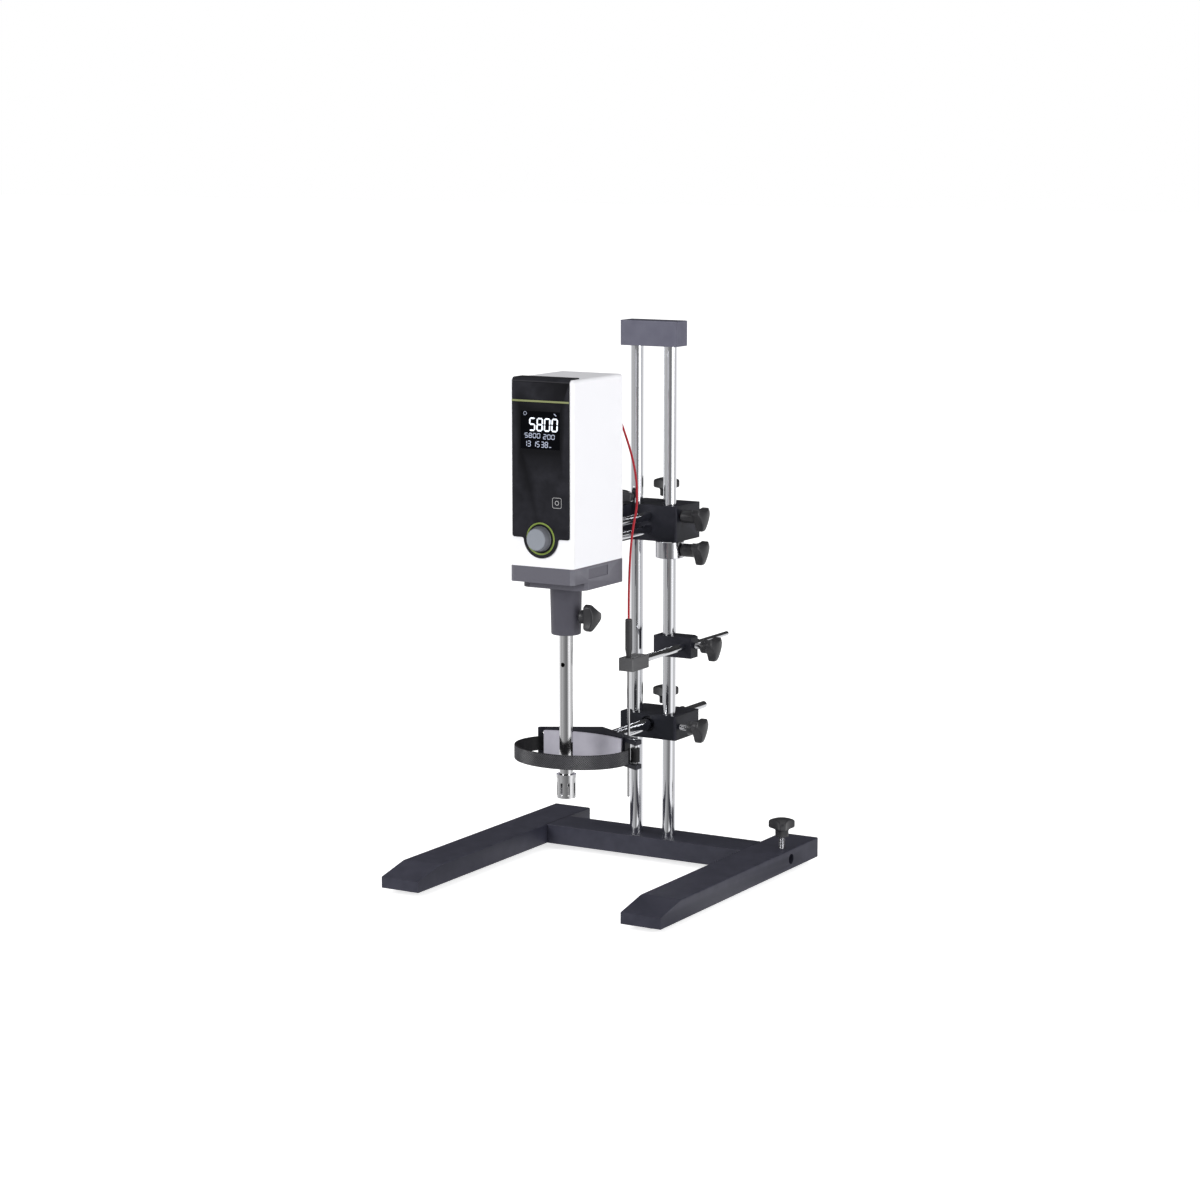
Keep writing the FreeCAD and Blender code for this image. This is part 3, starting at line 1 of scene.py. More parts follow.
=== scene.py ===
"""Looks of the laboratory homogenizer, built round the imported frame.

Metres, +Z up, the operator stands on the -Y side. Sizes marked with MM are in millimetres.
"""

import json
import math

import bmesh
import bpy
from mathutils import Matrix, Vector


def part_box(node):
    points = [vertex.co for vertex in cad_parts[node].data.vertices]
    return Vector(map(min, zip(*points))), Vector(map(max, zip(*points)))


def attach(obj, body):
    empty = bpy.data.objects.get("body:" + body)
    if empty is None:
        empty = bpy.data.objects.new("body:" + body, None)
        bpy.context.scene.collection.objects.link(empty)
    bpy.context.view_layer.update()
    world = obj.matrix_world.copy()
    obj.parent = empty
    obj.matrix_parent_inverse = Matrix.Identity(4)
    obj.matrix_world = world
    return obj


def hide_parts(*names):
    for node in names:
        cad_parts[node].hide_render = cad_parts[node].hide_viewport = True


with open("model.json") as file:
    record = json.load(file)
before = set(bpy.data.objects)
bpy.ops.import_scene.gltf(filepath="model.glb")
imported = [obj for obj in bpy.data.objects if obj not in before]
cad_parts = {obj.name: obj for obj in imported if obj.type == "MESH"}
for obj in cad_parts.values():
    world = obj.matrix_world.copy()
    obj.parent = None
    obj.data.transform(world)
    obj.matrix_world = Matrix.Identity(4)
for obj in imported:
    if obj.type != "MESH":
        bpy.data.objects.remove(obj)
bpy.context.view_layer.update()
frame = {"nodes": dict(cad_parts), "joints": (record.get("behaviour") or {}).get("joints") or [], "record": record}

MM = 0.001
UP = Vector((0, 0, 1))


def mm(*numbers):
    """A point given in millimetres, in metres."""
    return Vector(numbers) * MM


def in_mm(rows):
    """A profile given in millimetres, in metres."""
    return [(radius * MM, height * MM) for radius, height in rows]


def linked(name, data):
    """A new object in the scene."""
    piece = bpy.data.objects.new(name, data)
    bpy.context.collection.objects.link(piece)
    return piece


# Places read from the frame

def middle(node):
    low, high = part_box(node)
    return (Vector(low) + Vector(high)) / 2


def joint(name):
    return next(entry for entry in frame["joints"] if entry["name"] == name)


def body_for(node):
    bodies = frame["record"]["behaviour"]["bodies"]
    return next(name for name, nodes in bodies.items() if node in nodes)


def slot_for(node):
    return next(entry["material_slot"] for entry in frame["record"]["subparts"] if entry["node"] == node)


TOOL_Y = middle("shaft_tube").y
COLUMN_Y = middle("left_column").y


# Camera at the photograph's angle

CAMERA_PLACE = (1.9946, -3.4654, 1.0050)
CAMERA_AZIMUTH = 30.22
CAMERA_ELEVATION = 8.947
CAMERA_LENS = 90.59


def add_camera():
    camera = linked("camera", bpy.data.cameras.new("camera"))
    camera.data.lens = CAMERA_LENS
    camera.data.clip_end = 50
    camera.location = CAMERA_PLACE
    camera.rotation_euler = (math.radians(90 - CAMERA_ELEVATION), 0, math.radians(CAMERA_AZIMUTH))
    bpy.context.scene.camera = camera


add_camera()


# Shader helpers

def srgb(red, green, blue):
    """A colour as seen on screen, 0 to 255, as the linear colour that a shader takes."""
    def linear(level):
        level /= 255
        return level / 12.92 if level <= 0.04045 else ((level + 0.055) / 1.055) ** 2.4
    return (linear(red), linear(green), linear(blue), 1.0)


class Nodes:
    """A node tree that is built node by node."""

    def __init__(self, tree):
        self.tree = tree

    def add(self, kind, inputs=None, **settings):
        """A node with its settings; each input takes a socket or a value."""
        node = self.tree.nodes.new(kind)
        for name, value in settings.items():
            setattr(node, name, value)
        for place, value in (inputs or {}).items():
            if isinstance(value, bpy.types.NodeSocket):
                self.join(value, node.inputs[place])
            else:
                node.inputs[place].default_value = value
        return node

    def join(self, start, end):
        self.tree.links.new(start, end)

    def maths(self, operation, *values):
        """A Math node; each value is a socket or a number."""
        return self.add("ShaderNodeMath", dict(enumerate(values)), operation=operation).outputs[0]

    def noise(self, scale, detail, place=None):
        """Noise over the object's own coordinates, or over the place given."""
        if place is None:
            place = self.add("ShaderNodeTexCoord").outputs["Object"]
        inputs = {"Vector": place, "Scale": scale, "Detail": detail}
        return self.add("ShaderNodeTexNoise", inputs).outputs["Fac"]


def shader_group(name, inputs, outputs):
    """An empty shader group with float inputs and named outputs."""
    group = bpy.data.node_groups.new(name, "ShaderNodeTree")
    for title, value in inputs.items():
        socket = group.interface.new_socket(title, in_out="INPUT", socket_type="NodeSocketFloat")
        socket.default_value = value
    for title, kind in outputs.items():
        group.interface.new_socket(title, in_out="OUTPUT", socket_type=kind)
    nodes = Nodes(group)
    return nodes, nodes.add("NodeGroupInput"), nodes.add("NodeGroupOutput")


def make_fine_grain():
    """Small even bumps, with a wider cloud in the same place for gloss and tone."""
    nodes, given, result = shader_group(
        "fine_grain",
        {"Scale": 900.0, "Cloud Scale": 14.0, "Cloud": 0.1},
        {"Height": "NodeSocketFloat", "Cloud": "NodeSocketFloat"},
    )
    nodes.join(nodes.noise(given.outputs["Scale"], 3.0), result.inputs["Height"])
    centred = nodes.maths("SUBTRACT", nodes.noise(given.outputs["Cloud Scale"], 4.0), 0.5)
    nodes.join(nodes.maths("MULTIPLY", centred, given.outputs["Cloud"]), result.inputs["Cloud"])
    return nodes.tree


def make_edge_wear():
    """A mask of the outward edges, broken up by noise."""
    nodes, given, result = shader_group(
        "edge_wear",
        {"Start": 0.52, "Width": 0.06, "Patchiness": 60.0},
        {"Mask": "NodeSocketFloat"},
    )
    shape = nodes.add("ShaderNodeNewGeometry")
    patches = nodes.noise(given.outputs["Patchiness"], 5.0)
    above = nodes.maths("SUBTRACT", shape.outputs["Pointiness"], given.outputs["Start"])
    edge = nodes.add("ShaderNodeClamp", {"Value": nodes.maths("DIVIDE", above, given.outputs["Width"])})
    nodes.join(nodes.maths("MULTIPLY", edge.outputs[0], patches), result.inputs["Mask"])
    return nodes.tree


def make_lathe_lines():
    """Fine lines across the length of a turned or drawn piece, from noise stretched round it."""
    nodes, given, result = shader_group(
        "lathe_lines",
        {"Along X": 40.0, "Along Y": 40.0, "Along Z": 4000.0},
        {"Height": "NodeSocketFloat"},
    )
    place = nodes.add("ShaderNodeTexCoord")
    stretch = nodes.add("ShaderNodeCombineXYZ", {letter: given.outputs[f"Along {letter}"] for letter in "XYZ"})
    scaled = nodes.add("ShaderNodeVectorMath", {0: place.outputs["Object"], 1: stretch.outputs[0]},
                       operation="MULTIPLY")
    nodes.join(nodes.noise(1.0, 2.0, scaled.outputs[0]), result.inputs["Height"])
    return nodes.tree


def make_soft_dust():
    """A pale film that lies on faces that look up."""
    nodes, given, result = shader_group(
        "soft_dust",
        {"Amount": 0.15, "Scale": 30.0},
        {"Mask": "NodeSocketFloat"},
    )
    shape = nodes.add("ShaderNodeNewGeometry")
    parts = nodes.add("ShaderNodeSeparateXYZ", {0: shape.outputs["Normal"]})
    facing = nodes.maths("MAXIMUM", parts.outputs["Z"], 0.0)
    film = nodes.maths("MULTIPLY", facing, nodes.noise(given.outputs["Scale"], 6.0))
    nodes.join(nodes.maths("MULTIPLY", film, given.outputs["Amount"]), result.inputs["Mask"])
    return nodes.tree


FINE_GRAIN = make_fine_grain()
EDGE_WEAR = make_edge_wear()
LATHE_LINES = make_lathe_lines()
SOFT_DUST = make_soft_dust()


def new_material(name, colour, roughness, metallic=0.0, specular=0.5):
    """A material with its shader, and the nodes to build on."""
    material = bpy.data.materials.new(name)
    material.use_nodes = True
    nodes = Nodes(material.node_tree)
    shader = material.node_tree.nodes["Principled BSDF"]
    values = {
        "Base Color": colour, "Roughness": roughness, "Metallic": metallic, "Specular IOR Level": specular,
    }
    for title, value in values.items():
        shader.inputs[title].default_value = value
    return material, nodes, shader


def place_group(nodes, tree, **values):
    """One use of a shared group, with its own values."""
    inputs = {title.replace("_", " "): value for title, value in values.items()}
    return nodes.add("ShaderNodeGroup", inputs, node_tree=tree)


def bump_from(nodes, shader, height, distance):
    bump = nodes.add("ShaderNodeBump", {"Strength": 1.0, "Distance": distance, "Height": height})
    nodes.join(bump.outputs["Normal"], shader.inputs["Normal"])


def blend_colour(nodes, shader, mask, first, second):
    """The base colour goes from first to second as the mask goes from 0 to 1."""
    mix = nodes.add("ShaderNodeMix", {"Factor": mask, "A": first, "B": second}, data_type="RGBA")
    nodes.join(mix.outputs["Result"], shader.inputs["Base Color"])
    return mix.outputs["Result"]


DUST_TONE = (170, 168, 166)


def moulded(name, colour, worn, roughness, grain_scale=1400.0, depth=0.03, specular=0.3, dust=0.02):
    """Paint or plastic: fine grain, slightly uneven gloss, paler edges and a little dust."""
    colour, worn = srgb(*colour), srgb(*worn)
    material, nodes, shader = new_material(name, colour, roughness, specular=specular)
    grain = place_group(nodes, FINE_GRAIN, Scale=grain_scale, Cloud=0.04)
    nodes.join(nodes.maths("ADD", grain.outputs["Cloud"], roughness), shader.inputs["Roughness"])
    bump_from(nodes, shader, grain.outputs["Height"], depth * MM)
    wear = place_group(nodes, EDGE_WEAR)
    edged = blend_colour(nodes, shader, wear.outputs["Mask"], colour, worn)
    film = place_group(nodes, SOFT_DUST, Amount=dust)
    blend_colour(nodes, shader, film.outputs["Mask"], edged, srgb(*DUST_TONE))
    return material


def metal(name, colour, roughness, lines=(40.0, 40.0, 4000.0), depth=0.004, metallic=1.0):
    """Bare metal with fine machining lines and a cloudy polish; lacquer is less metallic."""
    colour = srgb(*colour)
    material, nodes, shader = new_material(name, colour, roughness, metallic=metallic)
    marks = place_group(nodes, LATHE_LINES, Along_X=lines[0], Along_Y=lines[1], Along_Z=lines[2])
    bump_from(nodes, shader, marks.outputs["Height"], depth * MM)
    grain = place_group(nodes, FINE_GRAIN, Cloud_Scale=25.0, Cloud=0.05)
    nodes.join(nodes.maths("ADD", grain.outputs["Cloud"], roughness), shader.inputs["Roughness"])
    return material


def glowing(name, colour, strength):
    """Lit marks of the display, with slightly uneven brightness."""
    colour = srgb(*colour)
    material, nodes, shader = new_material(name, colour, 0.4)
    grain = place_group(nodes, FINE_GRAIN, Cloud_Scale=400.0, Cloud=0.4)
    dim = tuple(level * 0.6 for level in colour[:3]) + (1.0,)
    share = nodes.maths("ADD", grain.outputs["Cloud"], 0.8)
    mix = nodes.add("ShaderNodeMix", {"Factor": share, "A": dim, "B": colour}, data_type="RGBA")
    nodes.join(mix.outputs["Result"], shader.inputs["Emission Color"])
    shader.inputs["Emission Strength"].default_value = strength
    return material


STAND_PAINT = moulded("stand_paint", (40, 41, 54), (66, 66, 80), 0.5, 1500.0, specular=0.38, dust=0.005)
BLOCK_PAINT = moulded("block_paint", (24, 26, 33), (52, 52, 62), 0.42, 1600.0, specular=0.2, dust=0.01)
CAP_PAINT = moulded("cap_paint", (86, 86, 102), (114, 114, 128), 0.45, 1500.0, specular=0.25)
GREY_PAINT = moulded("grey_paint", (98, 97, 106), (124, 124, 132), 0.44, specular=0.2)
# The collar's paint is the housing's grey made darker: painted shade on the collar.
COLLAR_GREY_PAINTED_SHADE = moulded("collar_grey_painted_shade", (80, 79, 88), (110, 110, 118), 0.44, specular=0.2)
CLIP_PLASTIC = moulded("clip_plastic", (84, 84, 86), (112, 112, 114), 0.5, specular=0.2)
WHITE_PLASTIC = moulded("white_plastic", (243, 243, 247), (250, 250, 250), 0.4, 1800.0, 0.01,
                        specular=0.12, dust=0.0)
PANEL_PLASTIC = moulded("panel_plastic", (19, 19, 22), (50, 50, 56), 0.3, 1800.0, 0.005, specular=0.06,
                        dust=0.0)
KNOB_PLASTIC = moulded("knob_plastic", (46, 46, 49), (82, 82, 86), 0.34, 1100.0, 0.06, specular=0.5)
BLACK_PLASTIC = moulded("black_plastic", (30, 30, 32), (62, 62, 64), 0.45)
HANDLE_PLASTIC = moulded("handle_plastic", (58, 58, 60), (84, 84, 86), 0.4)
FOOT_RUBBER = moulded("foot_rubber", (24, 24, 25), (48, 48, 49), 0.75, 900.0, 0.08, specular=0.1)
STRAP_RUBBER = moulded("strap_rubber", (20, 20, 22), (44, 44, 46), 0.5, 900.0, 0.05, specular=0.2)
# The studs are the strap's rubber made paler: a painted highlight for the glints on the strap's texture. The
# studs' shape is real.
STUD_RUBBER_PAINTED_GLINT = moulded("stud_rubber_painted_glint", (52, 52, 56), (84, 84, 88), 0.34, 1800.0, 0.02, specular=0.5)
LINER_RUBBER = moulded("liner_rubber", (158, 156, 168), (196, 194, 204), 0.4, 900.0, 0.03)
ACCENT_LINE = moulded("accent_line_plastic", (124, 130, 84), (150, 156, 110), 0.4, dust=0.0)
ACCENT_RING = moulded("accent_ring_plastic", (118, 140, 56), (150, 168, 90), 0.4, dust=0.0)
DIAL_LACQUER = metal("dial_lacquer", (146, 151, 160), 0.32, (60.0, 2500.0, 60.0), 0.003, metallic=0.25)
DIAL_SIDE = moulded("dial_side", (88, 90, 97), (150, 152, 160), 0.4)
CHROME = metal("chrome", (232, 233, 237), 0.08, (30.0, 30.0, 300.0), 0.001)
TOOL_STEEL = metal("tool_steel", (222, 222, 224), 0.14, (40.0, 40.0, 3000.0), 0.002)
ROD_STEEL = metal("rod_steel", (222, 223, 227), 0.12, (30.0, 3000.0, 30.0), 0.001)
RING_STEEL = metal("ring_steel", (210, 210, 214), 0.2, (40.0, 40.0, 5000.0), 0.003)
DARK_STEEL = metal("dark_steel", (70, 70, 74), 0.35, (40.0, 40.0, 2000.0), 0.004)
INNER_METAL = metal("inner_metal", (150, 150, 154), 0.4, (40.0, 40.0, 2000.0), 0.004)
CABLE_RED = moulded("cable_red", (170, 22, 38), (196, 60, 70), 0.4, 2500.0, 0.02, dust=0.0)
DISPLAY_BLACK = moulded("display_black", (4, 5, 8), (10, 10, 14), 0.2, 2000.0, 0.001, specular=0.04,
                        dust=0.0)
DISPLAY_LIGHT = glowing("display_light", (222, 228, 238), 0.9)
DISPLAY_DIM = glowing("display_dim", (150, 156, 174), 0.8)
BRASS = metal("standoff_brass", (196, 164, 98), 0.3, (40.0, 3000.0, 40.0), 0.003)
BOARD_GREEN = moulded("board_green", (16, 70, 40), (40, 96, 62), 0.45, 700.0, 0.02)
BUSH_WHITE = moulded("bush_white", (226, 226, 220), (240, 240, 236), 0.5, dust=0.0)
MARK_WHITE = moulded("mark_white", (165, 165, 165), (190, 190, 190), 0.5, dust=0.0)


# Mesh helpers

SMOOTH_BELOW = math.radians(38)


def smooth_mesh(name, bm):
    """A mesh from a bmesh, smooth but for its sharp edges."""
    bmesh.ops.recalc_face_normals(bm, faces=bm.faces)
    mesh = bpy.data.meshes.new(name)
    bm.to_mesh(mesh)
    bm.free()
    mesh.shade_smooth()
    mesh.set_sharp_from_angle(angle=SMOOTH_BELOW)
    return mesh


def finished(name, bm, material, body, replaced=(), slot=None):
    """A piece from a bmesh, on its body, with its finish."""
    return dress(linked(name, smooth_mesh(name, bm)), material, body, replaced, slot)


def dress(piece, material, body, replaced=(), slot=None):
    """Material, body and replaced nodes of a piece; its slot is worked out but not given to it."""
    piece.data.materials.clear()
    piece.data.materials.append(material)
    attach(piece, body)
    if replaced:
        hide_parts(*replaced)
    if slot is None and replaced:
        slot = slot_for(replaced[0])
    return piece


def even_shading(piece):
    """Large flat faces keep their own normal, so that only the rounded edges shade softly."""
    modifier = piece.modifiers.new("flat faces", "WEIGHTED_NORMAL")
    modifier.keep_sharp = True


def turned(bm, profile, place=Vector(), axis=UP, steps=64):
    """A closed turned shape: profile is a list of (radius, height) in metres, along axis from place."""
    turn = UP.rotation_difference(Vector(axis)).to_matrix()
    rings = []
    for radius, height in profile:
        if radius == 0:
            rings.append([bm.verts.new(place + turn @ Vector((0, 0, height)))])
            continue
        ring = []
        for step in range(steps):
            angle = 2 * math.pi * step / steps
            spot = Vector((radius * math.cos(angle), radius * math.sin(angle), height))
            ring.append(bm.verts.new(place + turn @ spot))
        rings.append(ring)
    for lower, upper in zip(rings, rings[1:]):
        bridge(bm, lower, upper)
    return rings


def bridge(bm, lower, upper):
    """Faces between two rings; a ring of one point closes to it."""
    steps = max(len(lower), len(upper))
    for step in range(steps):
        following = (step + 1) % steps
        if len(lower) == 1:
            bm.faces.new((lower[0], upper[following], upper[step]))
        elif len(upper) == 1:
            bm.faces.new((lower[step], lower[following], upper[0]))
        else:
            bm.faces.new((lower[step], lower[following], upper[following], upper[step]))


def bar_profile(radius, low, high, edge):
    """The profile of a round bar with small bevelled ends."""
    return [(0, low), (radius - edge, low), (radius, low + edge),
            (radius, high - edge), (radius - edge, high), (0, high)]


SHARP_FROM = math.radians(35)
FLAT_WITHIN = math.radians(0.6)
SAME_POINT = 1e-6
RING_POINT = 1e-7


def softened(node, material, width, shortest=4.0, wider=()):
    """A CAD node's own form with its long sharp edges rounded; wider has (which edges, width, segments)."""
    bm = bmesh.new()
    bm.from_mesh(frame["nodes"][node].data)
    bmesh.ops.remove_doubles(bm, verts=bm.verts, dist=SAME_POINT)
    bmesh.ops.dissolve_limit(bm, angle_limit=FLAT_WITHIN, verts=bm.verts, edges=bm.edges)
    for chosen, size, steps in (*wider, (lambda edge: True, width, 2)):
        edges = [
            edge for edge in bm.edges
            if len(edge.link_faces) == 2
            and edge.calc_face_angle(0) > SHARP_FROM
            and edge.calc_length() > shortest * MM
            and chosen(edge)
        ]
        bmesh.ops.bevel(bm, geom=edges, offset=size * MM, segments=steps, profile=0.5,
                        affect="EDGES", clamp_overlap=True)
    even_shading(finished(f"{node}_dressed", bm, material, body_for(node), (node,)))


def soften_all(*rows):
    """Rows of node, material, width of the rounding and shortest edge rounded, in millimetres."""
    for node, material, width, shortest in rows:
        softened(node, material, width, shortest)


# Clamp knobs

KNOB_RADIUS = 19.0
KNOB_THICKNESS = 15.5
KNOB_DOME = 4.5
KNOB_FULLNESS = 2.14
FLUTE_RADIUS = 50.0
FLUTE_OFFSET = 60.7
LOBE_SOFTNESS = 2.2
STUD_RADIUS = 4.0
HUB_RADIUS = 9.0
KNOB_TURNS = {
    "X": Matrix.Rotation(math.radians(90), 3, "Y"),
    "Z": Matrix.Identity(3),
}
# knob: axis, roll in degrees, gap under the hub, hub length
KNOBS = {
    "leg_knob": ("Z", 0, 16.5, 10.0),
    "lower_side_knob": ("X", 180, 12.5, 10.0),
    "lower_top_knob": ("Z", 0, 7.2, 10.0),
    "upper_side_knob": ("X", 180, 2.0, 21.0),
    "upper_top_knob": ("Z", 0, 7.2, 10.0),
    "lug_knob": ("Z", 180, 1.0, 3.7),
    "stop_knob": ("X", 180, 1.5, 20.0),
    "boss_knob": ("X", 180, 10.0, 10.0),
    "tool_knob": ("X", -90, 4.0, 8.0),
}
# under the head: how far from the hub to the lobe's edge, and how far above the neck
KNOB_UNDERSIDE = ((0.0, -0.8), (0.15, -0.2), (0.5, 0.3), (0.8, 0.8), (0.93, 1.4), (1.0, 2.6))
# at the head's rim: how far in from the lobe's edge, and how far below the dome
KNOB_RIM = ((0.0, 2.2), (0.12, 1.4), (0.5, 0.7), (1.1, 0.22), (2.0, 0.0))
KNOB_DOME_SHARES = (0.86, 0.72, 0.58, 0.44, 0.3, 0.16, 0.05)


def lobe_radius(angle):
    """The knob's outline: a circle with three wide flutes at 0, 120 and 240 degrees."""
    third = 2 * math.pi / 3
    off = (angle + third / 2) % third - third / 2
    inside = FLUTE_RADIUS ** 2 - (FLUTE_OFFSET * math.sin(off)) ** 2
    flute = FLUTE_OFFSET * math.cos(off) - math.sqrt(inside) if inside > 0 else KNOB_RADIUS * 2
    mix = max(0.0, min(1.0, 0.5 + 0.5 * (flute - KNOB_RADIUS) / LOBE_SOFTNESS))
    return flute * (1 - mix) + KNOB_RADIUS * mix - LOBE_SOFTNESS * mix * (1 - mix)


def knob_head(bm, hub, steps=144):
    """The moulded head, from the foot of its hub to the crown, in millimetres along +Z."""
    def dome(radius):
        return hub + KNOB_THICKNESS - KNOB_DOME * (radius / KNOB_RADIUS) ** KNOB_FULLNESS

    def ring(spot):
        verts = []
        for step in range(steps):
            angle = 2 * math.pi * step / steps
            radius, height = spot(lobe_radius(angle))
            verts.append(bm.verts.new((radius * math.cos(angle), radius * math.sin(angle), height)))
        return verts

    collar = HUB_RADIUS + 0.4
    rings = [
        ring(lambda edge: (STUD_RADIUS, 0.0)),
        ring(lambda edge: (HUB_RADIUS - 0.8, 0.0)),
        ring(lambda edge: (HUB_RADIUS, 0.8)),
        ring(lambda edge: (HUB_RADIUS + 0.1, hub - 1.8)),
    ]
    for share, lift in KNOB_UNDERSIDE:
        rings.append(ring(lambda edge: (collar + (edge - collar) * share, hub + lift)))
    for inset, drop in KNOB_RIM:
        rings.append(ring(lambda edge: (edge - inset, dome(edge - inset) - drop)))
    rim = KNOB_RIM[-1][0]
    for share in KNOB_DOME_SHARES:
        rings.append(ring(lambda edge: ((edge - rim) * share, dome((edge - rim) * share))))
    for lower, upper in zip(rings, rings[1:]):
        bridge(bm, lower, upper)
    bm.faces.new(rings[0])
    bm.faces.new(rings[-1])


def threaded_stud(bm, low, high, pitch=1.25, groove=0.55):
    """A stud with thread grooves as rings."""
    profile = [(0, low), (STUD_RADIUS - 0.6, low), (STUD_RADIUS, low + 0.6)]
    height = low + 1.0
    while height < high - pitch:
        profile += [
            (STUD_RADIUS, height),
            (STUD_RADIUS - groove, height + pitch * 0.5),
            (STUD_RADIUS, height + pitch * 0.95),
        ]
        height += pitch
    profile += [(STUD_RADIUS, high), (0, high)]
    turned(bm, profile, steps=32)


def add_knob(node):
    """The head and the threaded stud of a clamp knob, in the place of the plain ones."""
    axis, roll, gap, hub = KNOBS[node]
    seat = Vector(joint(f"{node}_turn")["pos_m"])
    letter = "XYZ".index(axis)
    depth = (seat[letter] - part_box(node)[0][letter]) / MM
    turn = KNOB_TURNS[axis] @ Matrix.Rotation(math.radians(roll), 3, "Z")
    matrix = Matrix.Translation(seat) @ turn.to_4x4() @ Matrix.Scale(MM, 4)
    head = bmesh.new()
    knob_head(head, hub)
    bmesh.ops.transform(head, matrix=matrix @ Matrix.Translation((0, 0, gap)), verts=head.verts)
    finished(f"{node}_head", head, KNOB_PLASTIC, body_for(node), (node,))
    stud = bmesh.new()
    threaded_stud(stud, -depth, gap + 1.0)
    bmesh.ops.transform(stud, matrix=matrix, verts=stud.verts)
    finished(f"{node}_stud", stud, RING_STEEL, body_for(node), (node,), slot="bright_steel")


for knob_node in KNOBS:
    add_knob(knob_node)


# Base frame

soften_all(
    ("left_leg", STAND_PAINT, 1.1, 6.0),
    ("right_leg", STAND_PAINT, 1.1, 6.0),
    ("crossbar", STAND_PAINT, 0.8, 6.0),
    ("top_cap", CAP_PAINT, 0.8, 6.0),
)

FOOT_RADIUS = 12.0
# radius and height, from the screw recess out and up
FOOT_ROWS = [(0, 2.5), (4.0, 2.5), (4.2, 0.3), (4.8, 0), (9.0, 0), (9.7, 0.8), (11.0, 5.0), (11.7, 5.4),
             (12.0, 6.2), (12.0, 8.0), (0, 8.0)]


def add_feet():
    """Turned rubber feet with a screw recess underneath."""
    bm = bmesh.new()
    low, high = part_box("rubber_feet")
    for x in (low[0], high[0]):
        for y in (low[1], high[1]):
            inset = FOOT_RADIUS * MM
            spot = Vector((x - math.copysign(inset, x), y - math.copysign(inset, y), 0))
            turned(bm, in_mm(FOOT_ROWS), spot)
    finished("rubber_feet_turned", bm, FOOT_RUBBER, "stand", ("rubber_feet",))


add_feet()


BAR_EDGE = 0.6 * MM
BACK = Vector((0, 1, 0))


def add_rod(node, material, axis):
    """A polished round bar with bevelled ends, in the place of a plain one."""
    low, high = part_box(node)
    centre = middle(node)
    letter = "XYZ".index(axis)
    direction = Vector([1.0 if place == letter else 0.0 for place in range(3)])
    radius = (high[(letter + 1) % 3] - low[(letter + 1) % 3]) / 2
    start = centre.copy()
    start[letter] = low[letter]
    bm = bmesh.new()
    turned(bm, bar_profile(radius, 0, high[letter] - low[letter], BAR_EDGE), start, direction)
    finished(f"{node}_polished", bm, material, body_for(node), (node,))


add_rod("left_column", CHROME, "Z")
add_rod("right_column", CHROME, "Z")


def add_stepped_rod(node, radius, tail_radius, tail_length, axis_x, axis_z):
    """A rod with a thinner rear tail, as one turned piece."""
    low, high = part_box(node)
    length = high[1] - low[1]
    step = length - tail_length * MM
    edge = 0.5 * MM
    profile = [
        (0, 0),
        (radius * MM - edge, 0),
        (radius * MM, edge),
        (radius * MM, step - edge),
        (radius * MM - edge, step),
        (tail_radius * MM, step),
        (tail_radius * MM, length - edge),
        (tail_radius * MM - edge, length),
        (0, length),
    ]
    bm = bmesh.new()
    turned(bm, profile, Vector((axis_x * MM, low[1], axis_z * MM)), BACK, 48)
    finished(f"{node}_polished", bm, ROD_STEEL, body_for(node), (node,))


# radius, tail radius, tail length, and the axis in X and Z
add_stepped_rod("vessel_rod", 8.0, 5.0, 62.0, 0.0, 191.2)
add_stepped_rod("probe_rod", 5.0, 3.2, 85.0, 55.0, 303.5)


def add_drive_rods():
    low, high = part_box("drive_rods")
    radius = (high[0] - low[0]) / 2
    bm = bmesh.new()
    for height in (low[2] + radius, high[2] - radius):
        profile = bar_profile(radius, 0, high[1] - low[1], BAR_EDGE)
        turned(bm, profile, Vector((0, low[1], height)), BACK, 48)
    finished("drive_rods_polished", bm, ROD_STEEL, "drive", ("drive_rods",))


add_drive_rods()


# Blocks

soften_all(
    ("upper_block", BLOCK_PAINT, 1.0, 6.0),
    ("lower_block", BLOCK_PAINT, 1.0, 6.0),
    ("boss_head", BLOCK_PAINT, 0.9, 5.0),
    ("probe_clip", CLIP_PLASTIC, 0.8, 5.0),
    ("vessel_jaw", BLOCK_PAINT, 0.7, 4.5),
    ("jaw_liner", LINER_RUBBER, 0.5, 4.0),
)


def add_ring_piece(node, material, hole_radius):
    """A collar with bevelled rims and an open bore."""
    low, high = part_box(node)
    centre = middle(node)
    radius = (high[0] - low[0]) / 2
    height = high[2] - low[2]
    rim = 0.8 * MM
    hole = hole_radius * MM
    profile = [
        (hole, rim), (hole + rim, 0), (radius - rim, 0), (radius, rim), (radius, height - rim),
        (radius - rim, height), (hole + rim, height), (hole, height - rim), (hole, rim),
    ]
    bm = bmesh.new()
    turned(bm, profile, Vector((centre.x, centre.y, low[2])), UP, 96)
    bmesh.ops.remove_doubles(bm, verts=bm.verts, dist=RING_POINT)
    finished(f"{node}_turned", bm, material, body_for(node), (node,))


add_ring_piece("stop_ring", RING_STEEL, 9.05)


# Drive

soften_all(
    ("white_housing", WHITE_PLASTIC, 0.5, 30.0),
    ("lower_housing", GREY_PAINT, 0.7, 20.0),
)


def upright_front_edge(edge):
    """The panel's long front edges, left and right of its face."""
    first, second = (vert.co for vert in edge.verts)
    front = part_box("front_panel")[0][1]
    return abs(first.x - second.x) < 0.1 * MM and max(first.y, second.y) < front + 0.2 * MM


softened("front_panel", PANEL_PLASTIC, 0.4, 20.0, wider=((upright_front_edge, 1.4, 4),))
soften_all(
    ("display_window", DISPLAY_BLACK, 0.12, 4.0),
    ("accent_line", ACCENT_LINE, 0.15, 1.0),
)


FORWARD = Vector((0, -1, 0))
